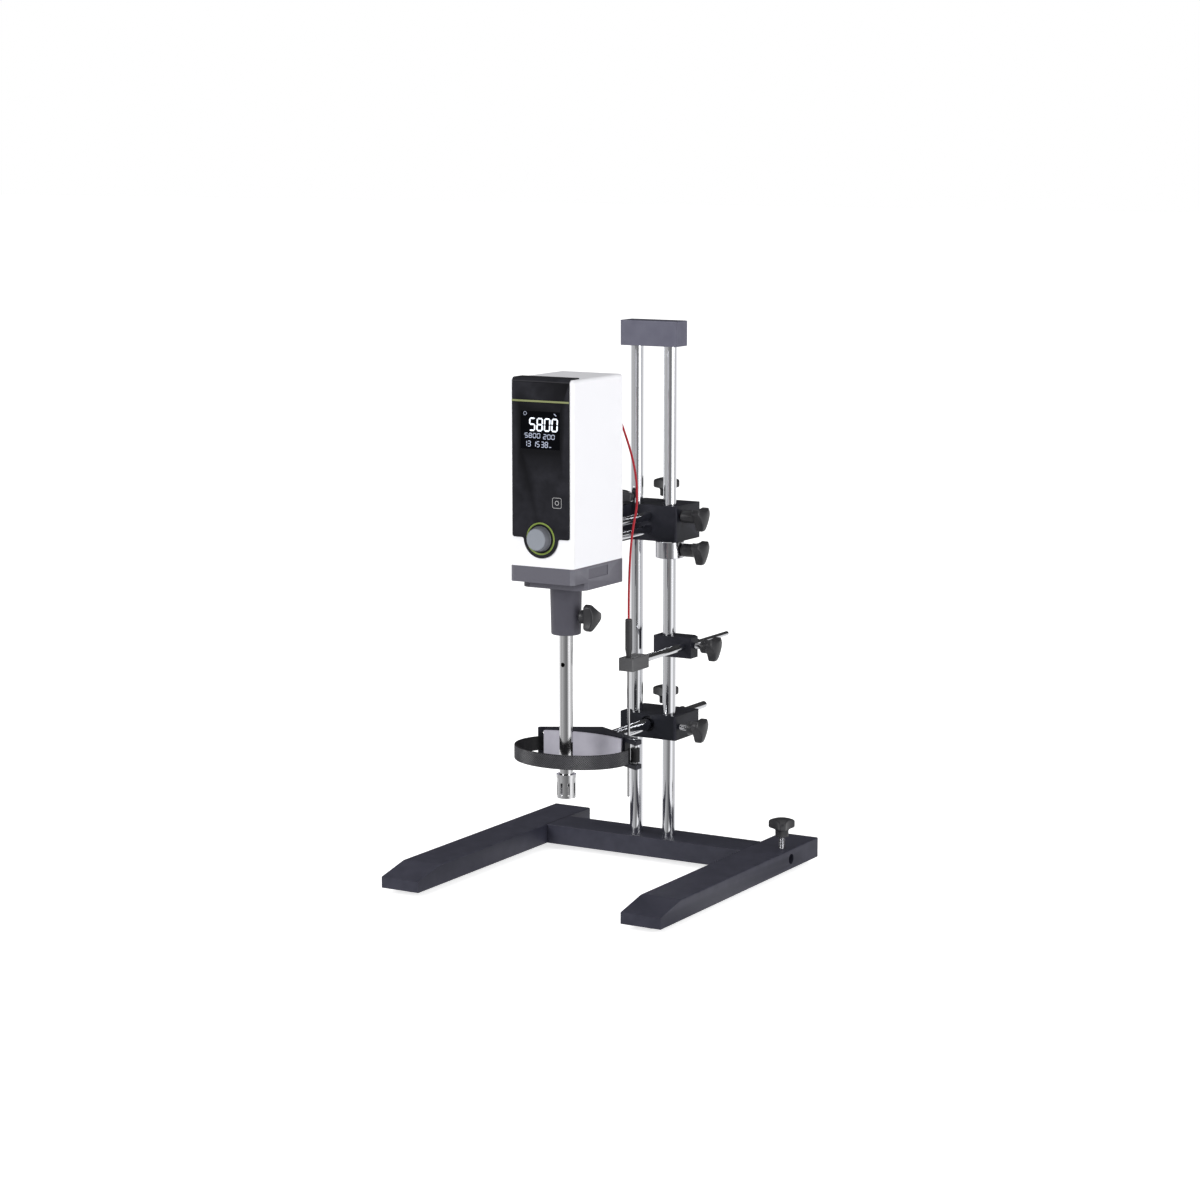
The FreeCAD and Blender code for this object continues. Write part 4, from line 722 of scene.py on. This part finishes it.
# radius and height from the skirt's back, for the skirt and for the face
DIAL_DEPTH = 11.0
SKIRT_ROWS = [(0, -3.0), (6.0, -3.0), (6.0, 0), (15.6, 0), (16.5, 0.8), (16.0, 3.0), (14.7, 10.2), (14.2, 11.0),
              (13.9, 10.7), (0, 10.7)]
FACE_ROWS = [(0, 10.4), (13.8, 10.4), (13.8, 11.2), (13.3, 11.6), (9.0, 11.45), (0, 11.3)]


def add_dial():
    """Knob with a bright turned face and a tapered skirt, inside its coloured ring."""
    centre = middle("dial_ring")
    back = Vector((0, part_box("dial_face")[1][1] + DIAL_DEPTH * MM, centre.z))
    skirt = bmesh.new()
    turned(skirt, in_mm(SKIRT_ROWS), back, FORWARD, 120)
    finished("control_knob_turned", skirt, DIAL_SIDE, "dial", ("control_knob",))
    face = bmesh.new()
    turned(face, in_mm(FACE_ROWS), back, FORWARD, 120)
    finished("dial_face_turned", face, DIAL_LACQUER, "dial", ("dial_face",))
    low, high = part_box("dial_ring")
    outer = (high[0] - low[0]) / 2
    ring = bmesh.new()
    turned(ring, [(outer - 2.2 * MM, 0), (outer, 0), (outer, 0.5 * MM), (outer - 0.7 * MM, 1.1 * MM),
                  (outer - 1.5 * MM, 1.1 * MM), (outer - 2.2 * MM, 0.5 * MM), (outer - 2.2 * MM, 0)],
           Vector((0, high[1], centre.z)), FORWARD, 96)
    bmesh.ops.remove_doubles(ring, verts=ring.verts, dist=RING_POINT)
    finished("dial_ring_turned", ring, ACCENT_RING, "drive", ("dial_ring",))


add_dial()


# Display marks: seven-segment figures and small plain icons

SEGMENTS = {
    "0": "abcdef", "1": "bc", "2": "abged", "3": "abgcd", "5": "afgcd", "8": "abcdefg",
}
SEGMENT_ENDS = {
    "a": ((0, 2), (1, 2)), "b": ((1, 2), (1, 1)), "c": ((1, 1), (1, 0)), "d": ((0, 0), (1, 0)),
    "e": ((0, 1), (0, 0)), "f": ((0, 2), (0, 1)), "g": ((0, 1), (1, 1)),
}
# text, left edge, foot of the figures, height, pitch, stroke, all in millimetres on the display
BIG_ROWS = [("5800", -16.2, 619.9, 15.4, 11.1, 1.9)]
SMALL_ROWS = [
    ("5800", -23.2, 610.4, 5.6, 6.1, 0.85),
    ("200", 4.4, 609.6, 5.6, 6.1, 0.85),
    ("13", -24.4, 599.2, 6.8, 5.6, 0.9),
    ("15", -11.2, 599.0, 6.8, 5.6, 0.9),
    ("38", 1.2, 598.8, 6.8, 5.6, 0.9),
]
FIGURE_SLANT = 0.05
FIGURE_WIDTH = 0.68
MARK_DEPTH = 0.05


def flat_bar(bm, start, end, width, y):
    """A slim bar with pointed ends, from start to end on the display plane (x, z in millimetres)."""
    along = Vector((end[0] - start[0], 0, end[1] - start[1]))
    length = along.length
    along.normalize()
    side = Vector((-along.z, 0, along.x)) * width / 2
    first = Vector((start[0], y, start[1])) + along * width * 0.15
    last = Vector((end[0], y, end[1])) - along * width * 0.15
    tip = min(width * 0.5, length * 0.3)
    outline = [first, first + along * tip + side, last - along * tip + side,
               last, last - along * tip - side, first + along * tip - side]
    front = [bm.verts.new(spot * MM) for spot in outline]
    back = [bm.verts.new((spot + Vector((0, MARK_DEPTH, 0))) * MM) for spot in outline]
    bm.faces.new(front)
    bm.faces.new(back[::-1])
    bridge(bm, front, back)


def figures(bm, rows, y):
    """Seven-segment figures, row by row."""
    for text, left, foot, height, pitch, stroke in rows:
        half = height / 2
        width = pitch * FIGURE_WIDTH
        for place, letter in enumerate(text):
            origin = left + place * pitch
            for segment in SEGMENTS[letter]:
                ends = []
                for across, level in SEGMENT_ENDS[segment]:
                    rise = level * half
                    ends.append((origin + across * width + rise * FIGURE_SLANT, foot + rise))
                flat_bar(bm, ends[0], ends[1], stroke, y)


def add_display_figures():
    """Lit figures, with a small ring, a slash and a dash as plain icons."""
    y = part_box("display_window")[0][1] / MM - MARK_DEPTH
    big = bmesh.new()
    figures(big, BIG_ROWS, y)
    finished("display_large_figures", big, DISPLAY_LIGHT, "drive", slot="display_plastic")
    small = bmesh.new()
    figures(small, SMALL_ROWS, y)
    flat_bar(small, (12.6, 599.2), (16.6, 599.2), 0.9, y)
    flat_bar(small, (20.0, 642.4), (24.0, 639.2), 1.1, y)
    for step in range(12):
        ends = []
        for turn in (step, step + 1):
            angle = math.radians(30 * turn)
            ends.append((-22.8 + 2.3 * math.cos(angle), 641.3 + 2.3 * math.sin(angle)))
        flat_bar(small, ends[0], ends[1], 0.8, y)
    finished("display_small_figures", small, DISPLAY_DIM, "drive", slot="display_plastic")


add_display_figures()


def add_touch_mark():
    """A plain rounded square with a ring in it, printed on the panel."""
    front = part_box("front_panel")[0][1] / MM - 0.04
    centre = Vector((24.4, front, 528.4))
    bm = bmesh.new()
    half = 6.8
    corner = 2.2
    width = 0.55

    def rounded_square(size, radius):
        spots = []
        for quarter, (sx, sz) in enumerate(((1, 1), (-1, 1), (-1, -1), (1, -1))):
            for step in range(7):
                angle = math.radians(90 * quarter + 15 * step)
                reach = size - radius
                spots.append((sx * reach + radius * math.cos(angle), sz * reach + radius * math.sin(angle)))
        return spots

    def circle_spots(radius):
        angles = [math.radians(15 * step) for step in range(24)]
        return [(radius * math.cos(angle), radius * math.sin(angle)) for angle in angles]

    def band(outer, inner):
        rings = []
        for spots, depth in ((outer, 0.0), (inner, 0.0), (inner, 0.04), (outer, 0.04)):
            rings.append([bm.verts.new((centre + Vector((x, depth, z))) * MM) for x, z in spots])
        for lower, upper in zip(rings, rings[1:] + rings[:1]):
            bridge(bm, lower, upper)

    band(rounded_square(half, corner), rounded_square(half - width, corner - width))
    band(circle_spots(3.0), circle_spots(2.3))
    finished("touch_mark", bm, MARK_WHITE, "drive", slot="panel_plastic")


add_touch_mark()


# Tool collar, tube, stator and rotor

def add_collar():
    low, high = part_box("tool_collar")
    base = Vector((0, TOOL_Y, 0))
    bottom = low[2] / MM
    top = high[2] / MM
    rows = [
        (9.05, bottom + 0.6), (9.6, bottom), (18.2, bottom), (19.1, bottom + 0.5), (19.5, bottom + 1.6),
        (20.8, top - 6.0), (21.3, top - 3.0), (22.6, top - 1.2), (24.8, top), (9.05, top), (9.05, bottom + 0.6),
    ]
    bm = bmesh.new()
    turned(bm, in_mm(rows), base, UP, 96)
    bmesh.ops.remove_doubles(bm, verts=bm.verts, dist=RING_POINT)
    # The collar gets the darkened grey, which is painted shade.
    finished("tool_collar_turned", bm, COLLAR_GREY_PAINTED_SHADE, "drive", ("tool_collar",))


add_collar()

soften_all(
    ("shaft_tube", TOOL_STEEL, 0.2, 400.0),
    ("stator", TOOL_STEEL, 0.2, 12.0),
    ("rotor", TOOL_STEEL, 0.2, 4.0),
)
add_rod("inner_shaft", TOOL_STEEL, "Z")


# Probe

def add_probe():
    low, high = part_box("probe_handle")
    centre = middle("probe_handle")
    base = Vector((centre.x, centre.y, 0))
    foot = low[2] / MM
    top = high[2] / MM
    rows = [(0, foot), (2.5, foot), (3.0, foot + 0.6), (3.2, foot + 2.0), (4.2, foot + 8.5), (4.6, foot + 10.5),
            (4.7, foot + 12.5), (4.7, top - 3.4), (4.3, top - 3.2), (4.3, top - 2.6), (4.7, top - 2.4),
            (4.5, top - 0.9), (3.6, top), (0, top)]
    bm = bmesh.new()
    turned(bm, in_mm(rows), base, UP, 48)
    finished("probe_handle_turned", bm, HANDLE_PLASTIC, "probe", ("probe_handle",))
    low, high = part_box("probe_stem")
    tip = low[2] / MM
    top = high[2] / MM
    rows = [(0, tip), (0.9, tip + 0.2), (1.6, tip + 1.0), (1.75, tip + 2.0), (1.75, 243.5), (2.5, 244.5),
            (2.5, top), (0, top)]
    bm = bmesh.new()
    turned(bm, in_mm(rows), base, UP, 32)
    finished("probe_stem_turned", bm, TOOL_STEEL, "probe", ("probe_stem",))


add_probe()


def add_probe_socket():
    """The socket in the drive's rear wall, ribbed where it holds the cable's end."""
    low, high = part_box("probe_socket")
    centre = middle("probe_socket")
    length = (high[1] - low[1]) / MM
    rows = [(0, 0), (5.4, 0), (5.5, 0.2), (5.5, length - 6.4), (5.0, length - 6.0), (5.0, length - 5.4),
            (4.6, length - 5.2), (4.6, length - 4.4), (4.2, length - 4.2), (4.2, length - 3.4),
            (3.7, length - 3.2), (3.7, length - 2.4), (3.1, length - 2.2), (2.7, length - 0.4), (2.4, length),
            (0, length)]
    bm = bmesh.new()
    turned(bm, in_mm(rows), Vector((centre.x, low[1], centre.z)), BACK, 40)
    finished("probe_socket_turned", bm, BLACK_PLASTIC, "drive", ("probe_socket",))


add_probe_socket()


# Probe cable

CABLE_DIAMETER = 3.0 * MM
CABLE_ROUTE = [
    (0.02400, -0.05125, 0.6330),
    (0.02430, -0.0420, 0.6323),
    (0.02660, -0.0350, 0.6240),
    (0.03040, -0.0330, 0.6115),
    (0.03960, -0.0330, 0.5880),
    (0.04740, -0.0335, 0.5638),
    (0.05170, -0.0345, 0.5416),
    (0.05340, -0.0360, 0.5267),
    (0.05460, -0.0385, 0.5078),
    (0.05190, -0.0430, 0.4847),
    (0.05160, -0.0485, 0.4617),
    (0.05310, -0.0545, 0.4369),
    (0.05450, -0.0588, 0.4144),
    (0.05490, -0.0604, 0.3880),
    (0.05500, -0.0605, 0.3630),
]


def add_cable():
    """The red cable on one smooth curve from the socket to the probe handle."""
    curve = bpy.data.curves.new("probe_cable_sleeve", "CURVE")
    curve.dimensions = "3D"
    curve.bevel_depth = CABLE_DIAMETER / 2
    curve.bevel_resolution = 5
    curve.resolution_u = 10
    curve.use_fill_caps = True
    spline = curve.splines.new("NURBS")
    spline.points.add(len(CABLE_ROUTE) - 1)
    for point, place in zip(spline.points, CABLE_ROUTE):
        point.co = (*place, 1.0)
    spline.order_u = 3
    spline.use_endpoint_u = True
    cable = linked("probe_cable_sleeve", curve)
    dress(cable, CABLE_RED, "probe", ("probe_cable",))


add_cable()


# Strap: rows of small pointed studs, set on the band by geometry nodes

STRAP_HALF_WIDTH = 80.0
STRAP_HALF_DEPTH = 65.0
STRAP_STUDDED = (166.0, 368.0)
STRAP_STEPS = 240
STUD_PITCH = 3.0 * MM
STUD_ROWS = 6
STUD_TIP = 0.25 * MM


class Shape(Nodes):
    """A geometry node tree with named inputs, ending in real faces of one material."""

    def __init__(self, name, inputs):
        tree = bpy.data.node_groups.new(name, "GeometryNodeTree")
        super().__init__(tree)
        tree.interface.new_socket("Geometry", in_out="INPUT", socket_type="NodeSocketGeometry")
        for title, (kind, value) in inputs.items():
            socket = tree.interface.new_socket(title, in_out="INPUT", socket_type=kind)
            if value is not None:
                socket.default_value = value
        tree.interface.new_socket("Geometry", in_out="OUTPUT", socket_type="NodeSocketGeometry")
        self.given = self.add("NodeGroupInput")
        self.result = self.add("NodeGroupOutput")

    def facing_outward(self):
        """A rotation that turns Z to the point's outward direction."""
        direction = self.add("GeometryNodeInputNamedAttribute", {"Name": "outward"}, data_type="FLOAT_VECTOR")
        facing = {"Vector": direction.outputs["Attribute"]}
        return self.add("FunctionNodeAlignRotationToVector", facing, axis="Z").outputs[0]

    def end(self, geometry, material):
        real = self.add("GeometryNodeRealizeInstances", {0: geometry})
        coated = self.add("GeometryNodeSetMaterial", {0: real.outputs[0], "Material": material})
        self.join(coated.outputs[0], self.result.inputs[0])


def baked(name, mesh, tree, values, material, body, slot):
    """A plain mesh object from what a geometry node tree makes of a start mesh."""
    start = linked(f"{name}_start", mesh)
    modifier = start.modifiers.new("shape", "NODES")
    modifier.node_group = tree
    for item in tree.interface.items_tree:
        if item.in_out == "INPUT" and item.name in values:
            modifier[item.identifier] = values[item.name]
    bpy.context.view_layer.update()
    made = start.evaluated_get(bpy.context.evaluated_depsgraph_get())
    result = bpy.data.meshes.new_from_object(made)
    bpy.data.objects.remove(start)
    result.name = name
    return dress(linked(name, result), material, body, slot=slot)


def make_strap_studs():
    """Studs in staggered rows along a line that lies level round the strap."""
    shape = Shape("strap_studs", {
        "Pitch": ("NodeSocketFloat", STUD_PITCH),
        "Rows": ("NodeSocketInt", STUD_ROWS),
        "Stud Radius": ("NodeSocketFloat", 1.3 * MM),
        "Stud Height": ("NodeSocketFloat", 0.5 * MM),
    })
    given = shape.given.outputs
    line = shape.add("GeometryNodeMeshToCurve", {0: given["Geometry"]})
    half = shape.maths("MULTIPLY", given["Pitch"], 0.5)
    even = shape.add("GeometryNodeResampleCurve", {"Curve": line.outputs[0], "Length": half}, mode="LENGTH")
    tangent = shape.add("GeometryNodeInputTangent")
    outward = shape.add("ShaderNodeVectorMath", {0: tangent.outputs[0], 1: UP}, operation="CROSS_PRODUCT")
    kept = shape.add("GeometryNodeStoreNamedAttribute", {
        "Geometry": even.outputs[0], "Name": "outward", "Value": outward.outputs[0],
    }, data_type="FLOAT_VECTOR")
    odd = shape.maths("MODULO", shape.add("GeometryNodeInputIndex").outputs[0], 2.0)
    rise = shape.add("ShaderNodeCombineXYZ", {"Z": shape.maths("MULTIPLY", odd, half)})
    staggered = shape.add("GeometryNodeSetPosition", {"Geometry": kept.outputs[0], "Offset": rise.outputs[0]})
    step = shape.add("ShaderNodeCombineXYZ", {"Z": given["Pitch"]})
    column = shape.add("GeometryNodeMeshLine", {
        "Count": given["Rows"], "Offset": step.outputs[0],
    }, mode="OFFSET")
    columns = shape.add("GeometryNodeInstanceOnPoints", {
        "Points": staggered.outputs[0], "Instance": column.outputs[0],
    })
    grid = shape.add("GeometryNodeRealizeInstances", {0: columns.outputs[0]})
    stud = shape.add("GeometryNodeMeshCone", {
        "Vertices": 4, "Radius Top": STUD_TIP,
        "Radius Bottom": given["Stud Radius"], "Depth": given["Stud Height"],
    })
    upright = shape.add("FunctionNodeAlignRotationToVector", {
        "Vector": UP, "Rotation": shape.facing_outward(),
    }, axis="X", pivot_axis="Z")
    studs = shape.add("GeometryNodeInstanceOnPoints", {
        "Points": grid.outputs[0], "Instance": stud.outputs["Mesh"], "Rotation": upright.outputs[0],
    })
    # The studs' paler rubber is a painted highlight.
    shape.end(studs.outputs[0], STUD_RUBBER_PAINTED_GLINT)
    return shape.tree


def add_strap_studs():
    low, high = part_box("strap")
    centre_y = low[1] + STRAP_HALF_DEPTH * MM
    foot = low[2] + ((high[2] - low[2]) - (STUD_ROWS - 0.5) * STUD_PITCH) / 2
    mesh = bpy.data.meshes.new("strap_line")
    first, last = STRAP_STUDDED
    spots = []
    for step in range(STRAP_STEPS + 1):
        angle = math.radians(first + (last - first) * step / STRAP_STEPS)
        x = STRAP_HALF_WIDTH * MM * math.cos(angle)
        spots.append((x, centre_y + STRAP_HALF_DEPTH * MM * math.sin(angle), foot))
    mesh.from_pydata(spots, [(place, place + 1) for place in range(STRAP_STEPS)], [])
    # The studs get the paler rubber, which is a painted highlight.
    baked("strap_studs", mesh, make_strap_studs(), {"Pitch": STUD_PITCH, "Rows": STUD_ROWS}, STUD_RUBBER_PAINTED_GLINT,
          "vessel_holder", "strap_rubber")


add_strap_studs()


# Socket screws, set by geometry nodes

SOCKET_SHARE = 0.46
SCREW_SEED = 3


def screw_blank(name, head, head_length, shank=0.0, shank_length=0.0, steps=24):
    """One screw with a hexagon socket, its outer face at the origin and its length down -Z, in millimetres."""
    bm = bmesh.new()

    def ring(radius, height, hexagon=False):
        verts = []
        for step in range(steps):
            angle = 2 * math.pi * step / steps
            reach = radius
            if hexagon:
                reach = radius * math.cos(math.radians(30)) / math.cos(angle % (math.pi / 3) - math.pi / 6)
            verts.append(bm.verts.new(mm(reach * math.cos(angle), reach * math.sin(angle), height)))
        return verts

    key = head * SOCKET_SHARE
    depth = -min(head, head_length * 0.6)
    edge = head * 0.12
    rings = [
        [bm.verts.new(mm(0, 0, depth))],
        ring(key, depth, True),
        ring(key, -edge * 0.5, True),
        ring(key + edge * 0.5, 0, True),
        ring(head - edge, 0),
        ring(head, -edge),
        ring(head, -head_length),
    ]
    if shank:
        rings += [ring(shank, -head_length), ring(shank, -head_length - shank_length)]
    rings.append([bm.verts.new(mm(0, 0, -head_length - shank_length))])
    for outer, inner in zip(rings, rings[1:]):
        bridge(bm, outer, inner)
    return linked(name, smooth_mesh(name, bm))


def make_socket_screws():
    """A screw on every point, facing the point's outward direction, each turned by its own amount."""
    shape = Shape("socket_screws", {"Screw": ("NodeSocketObject", None), "Seed": ("NodeSocketInt", SCREW_SEED)})
    given = shape.given.outputs
    blank = shape.add("GeometryNodeObjectInfo", {"Object": given["Screw"]})
    amount = shape.add("FunctionNodeRandomValue", {"Seed": given["Seed"]}, data_type="FLOAT")
    turn = shape.add("FunctionNodeAxisAngleToRotation", {"Axis": UP, "Angle": amount.outputs[1]})
    rolled = shape.add("FunctionNodeRotateRotation", {
        "Rotation": shape.facing_outward(), "Rotate By": turn.outputs[0],
    }, rotation_space="LOCAL")
    screws = shape.add("GeometryNodeInstanceOnPoints", {
        "Points": given["Geometry"], "Instance": blank.outputs["Geometry"], "Rotation": rolled.outputs[0],
    })
    shape.end(screws.outputs[0], DARK_STEEL)
    return shape.tree


SOCKET_SCREWS = make_socket_screws()


def add_screws(node, spots, outward, blank):
    """The screws of one node, in the place of its plain ones."""
    mesh = bpy.data.meshes.new(f"{node}_spots")
    mesh.from_pydata(spots, [], [])
    directions = mesh.attributes.new("outward", "FLOAT_VECTOR", "POINT")
    for entry in directions.data:
        entry.vector = outward
    piece = baked(f"{node}_made", mesh, SOCKET_SCREWS, {"Screw": blank, "Seed": SCREW_SEED}, DARK_STEEL,
                  body_for(node), slot_for(node))
    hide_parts(node)
    bpy.data.objects.remove(blank)


def add_all_screws():
    left, right = middle("left_column").x, middle("right_column").x
    low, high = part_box("column_bolts")
    bolt = screw_blank("column_bolt_blank", 6.5, 8.0, 4.0, 38.0)
    add_screws("column_bolts", [(left, COLUMN_Y, low[2]), (right, COLUMN_Y, low[2])], (0, 0, -1), bolt)
    low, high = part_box("cap_grub_screws")
    height = (low[2] + high[2]) / 2
    grub = screw_blank("cap_grub_blank", 3.0, (high[1] - low[1]) / MM)
    add_screws("cap_grub_screws", [(left, high[1], height), (right, high[1], height)], (0, 1, 0), grub)
    low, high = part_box("boss_grub_screw")
    grub = screw_blank("boss_grub_blank", 3.0, (high[1] - low[1]) / MM)
    add_screws("boss_grub_screw", [(right, high[1], (low[2] + high[2]) / 2)], (0, 1, 0), grub)


add_all_screws()


# Nodes that keep their own mesh

def other_nodes():
    """Nodes that keep their own mesh get their finish."""
    finishes = {
        "strap": STRAP_RUBBER, "strap_pin": CHROME, "rod_plate": INNER_METAL, "motor": INNER_METAL,
        "motor_plate": INNER_METAL, "spindle": TOOL_STEEL, "spindle_bearings": RING_STEEL,
        "control_board": BOARD_GREEN, "board_standoffs": BRASS, "encoder": BLACK_PLASTIC,
        "tube_bushes": BUSH_WHITE,
    }
    for node, material in finishes.items():
        piece = frame["nodes"][node]
        for entry in piece.material_slots:
            entry.material = material
        if not piece.material_slots:
            piece.data.materials.append(material)


other_nodes()


# Floor, light and backdrop

# bearing from the camera's side in degrees, and how bright the studio looks there in a reflection
STUDIO_BEARINGS = [
    (-180, 0.68), (-130, 0.72), (-108, 0.56), (-90, 0.34), (-76, 0.40), (-62, 0.42), (-50, 0.36), (-36, 0.27),
    (-15, 0.20), (8, 0.15), (20, 0.26), (32, 0.64), (46, 0.94), (62, 0.84), (78, 0.55), (95, 0.44), (112, 0.60),
    (140, 0.76), (180, 0.68),
]
STUDIO_BRIGHTEST = 1.25
FLOOR_SIZE = 30
FLOOR_LIGHT = 0.72
FLOOR_COLOUR = (0.9, 0.9, 0.9, 1)
WALL_LIGHT = 0.38
CEILING_LIGHT = 0.52
ROOM_TONE = 0.05
# the lit ceiling in reflections: where it starts and where it is full, by height, and how bright it is
CEILING_FROM = 0.55
CEILING_FULL = 0.9
CEILING_TONE = 0.6
CENTRE = (0, -0.03, 0.35)


def make_studio_tone():
    """How bright the studio looks in a reflection, by bearing round the object."""
    nodes, given, result = shader_group("studio_tone", {}, {"Tone": "NodeSocketFloat"})
    nodes.tree.interface.new_socket("Place", in_out="INPUT", socket_type="NodeSocketVector")
    parts = nodes.add("ShaderNodeSeparateXYZ", {0: given.outputs["Place"]})
    bearing = nodes.maths("ARCTAN2", parts.outputs["Y"], parts.outputs["X"])
    camera_side = math.radians(CAMERA_AZIMUTH - 90)
    turns = nodes.maths("MULTIPLY_ADD", bearing, 0.5 / math.pi, 0.5 - camera_side * 0.5 / math.pi)
    ramp = nodes.add("ShaderNodeValToRGB", {0: nodes.maths("FRACT", turns, 0.0)})
    stops = ramp.color_ramp.elements
    for place, (degrees, tone) in enumerate(STUDIO_BEARINGS):
        share = (degrees + 180) / 360
        stop = stops[place] if place < 2 else stops.new(share)
        stop.position = share
        stop.color = (tone, tone, tone, 1)
    nodes.join(nodes.maths("MULTIPLY", ramp.outputs["Color"], STUDIO_BRIGHTEST), result.inputs["Tone"])
    return nodes.tree


STUDIO_TONE = make_studio_tone()


def seen_directly(nodes, path):
    """1 for what the camera sees, straight or through a clear piece."""
    return nodes.maths("MAXIMUM", path.outputs["Is Camera Ray"], path.outputs["Is Transmission Ray"])


def add_floor():
    """A white floor that keeps a faint shadow, and looks uneven in reflections as a lit table does."""
    bm = bmesh.new()
    bmesh.ops.create_grid(bm, x_segments=1, y_segments=1, size=FLOOR_SIZE)
    mesh = bpy.data.meshes.new("floor")
    bm.to_mesh(mesh)
    bm.free()
    floor = linked("floor", mesh)
    material = bpy.data.materials.new("floor_white")
    material.use_nodes = True
    material.node_tree.nodes.clear()
    nodes = Nodes(material.node_tree)
    path = nodes.add("ShaderNodeLightPath")
    diffuse = nodes.add("ShaderNodeBsdfDiffuse", {"Color": FLOOR_COLOUR})
    glow = nodes.add("ShaderNodeEmission", {
        "Strength": nodes.maths("MULTIPLY", seen_directly(nodes, path), FLOOR_LIGHT),
    })
    lit = nodes.add("ShaderNodeAddShader", {0: diffuse.outputs[0], 1: glow.outputs[0]})
    place = nodes.add("ShaderNodeTexCoord")
    tone = nodes.add("ShaderNodeGroup", {"Place": place.outputs["Object"]}, node_tree=STUDIO_TONE)
    reflected = nodes.add("ShaderNodeEmission", {"Strength": tone.outputs["Tone"]})
    mix = nodes.add("ShaderNodeMixShader", {
        0: path.outputs["Is Glossy Ray"], 1: lit.outputs[0], 2: reflected.outputs[0],
    })
    nodes.add("ShaderNodeOutputMaterial", {"Surface": mix.outputs[0]})
    mesh.materials.append(material)


def add_lamp(name, place, target, size, power):
    light = bpy.data.lights.new(name, "AREA")
    light.shape = "RECTANGLE"
    light.size = size[0]
    light.size_y = size[1]
    light.energy = power
    lamp = linked(name, light)
    lamp.location = place
    lamp.rotation_euler = (Vector(target) - Vector(place)).to_track_quat("-Z", "Y").to_euler()


def add_world():
    """White behind the object, soft even light on it, and a dim room with a lit ceiling in reflections."""
    world = bpy.data.worlds.new("studio")
    bpy.context.scene.world = world
    world.use_nodes = True
    world.node_tree.nodes.clear()
    nodes = Nodes(world.node_tree)
    path = nodes.add("ShaderNodeLightPath")
    place = nodes.add("ShaderNodeTexCoord")
    tone = nodes.add("ShaderNodeGroup", {"Place": place.outputs["Generated"]}, node_tree=STUDIO_TONE)
    parts = nodes.add("ShaderNodeSeparateXYZ", {0: place.outputs["Generated"]})
    height = nodes.maths("MAXIMUM", parts.outputs["Z"], 0.0)
    lower = nodes.maths("POWER", nodes.maths("SUBTRACT", 1.0, height), 2.0)
    walls = nodes.maths("MULTIPLY_ADD", lower, WALL_LIGHT, CEILING_LIGHT)
    direct = nodes.maths("MAXIMUM", seen_directly(nodes, path), walls)
    ceiling = nodes.add("ShaderNodeMapRange", {
        "Value": parts.outputs["Z"], "From Min": CEILING_FROM, "From Max": CEILING_FULL, "To Max": CEILING_TONE,
    })
    room = nodes.maths("MULTIPLY_ADD", tone.outputs["Tone"], ROOM_TONE, ceiling.outputs[0])
    strength = nodes.add("ShaderNodeMix", {
        "Factor": path.outputs["Is Glossy Ray"], "A": direct, "B": room,
    }, data_type="FLOAT")
    background = nodes.add("ShaderNodeBackground", {
        "Color": (1, 1, 1, 1), "Strength": strength.outputs["Result"],
    })
    nodes.add("ShaderNodeOutputWorld", {"Surface": background.outputs[0]})


add_floor()
add_world()
add_lamp("key", (-1.3, -2.8, 1.6), CENTRE, (1.4, 1.4), 46)
add_lamp("fill", (2.6, -0.4, 0.9), CENTRE, (1.2, 1.6), 26)
bpy.context.scene.view_settings.view_transform = "Standard"
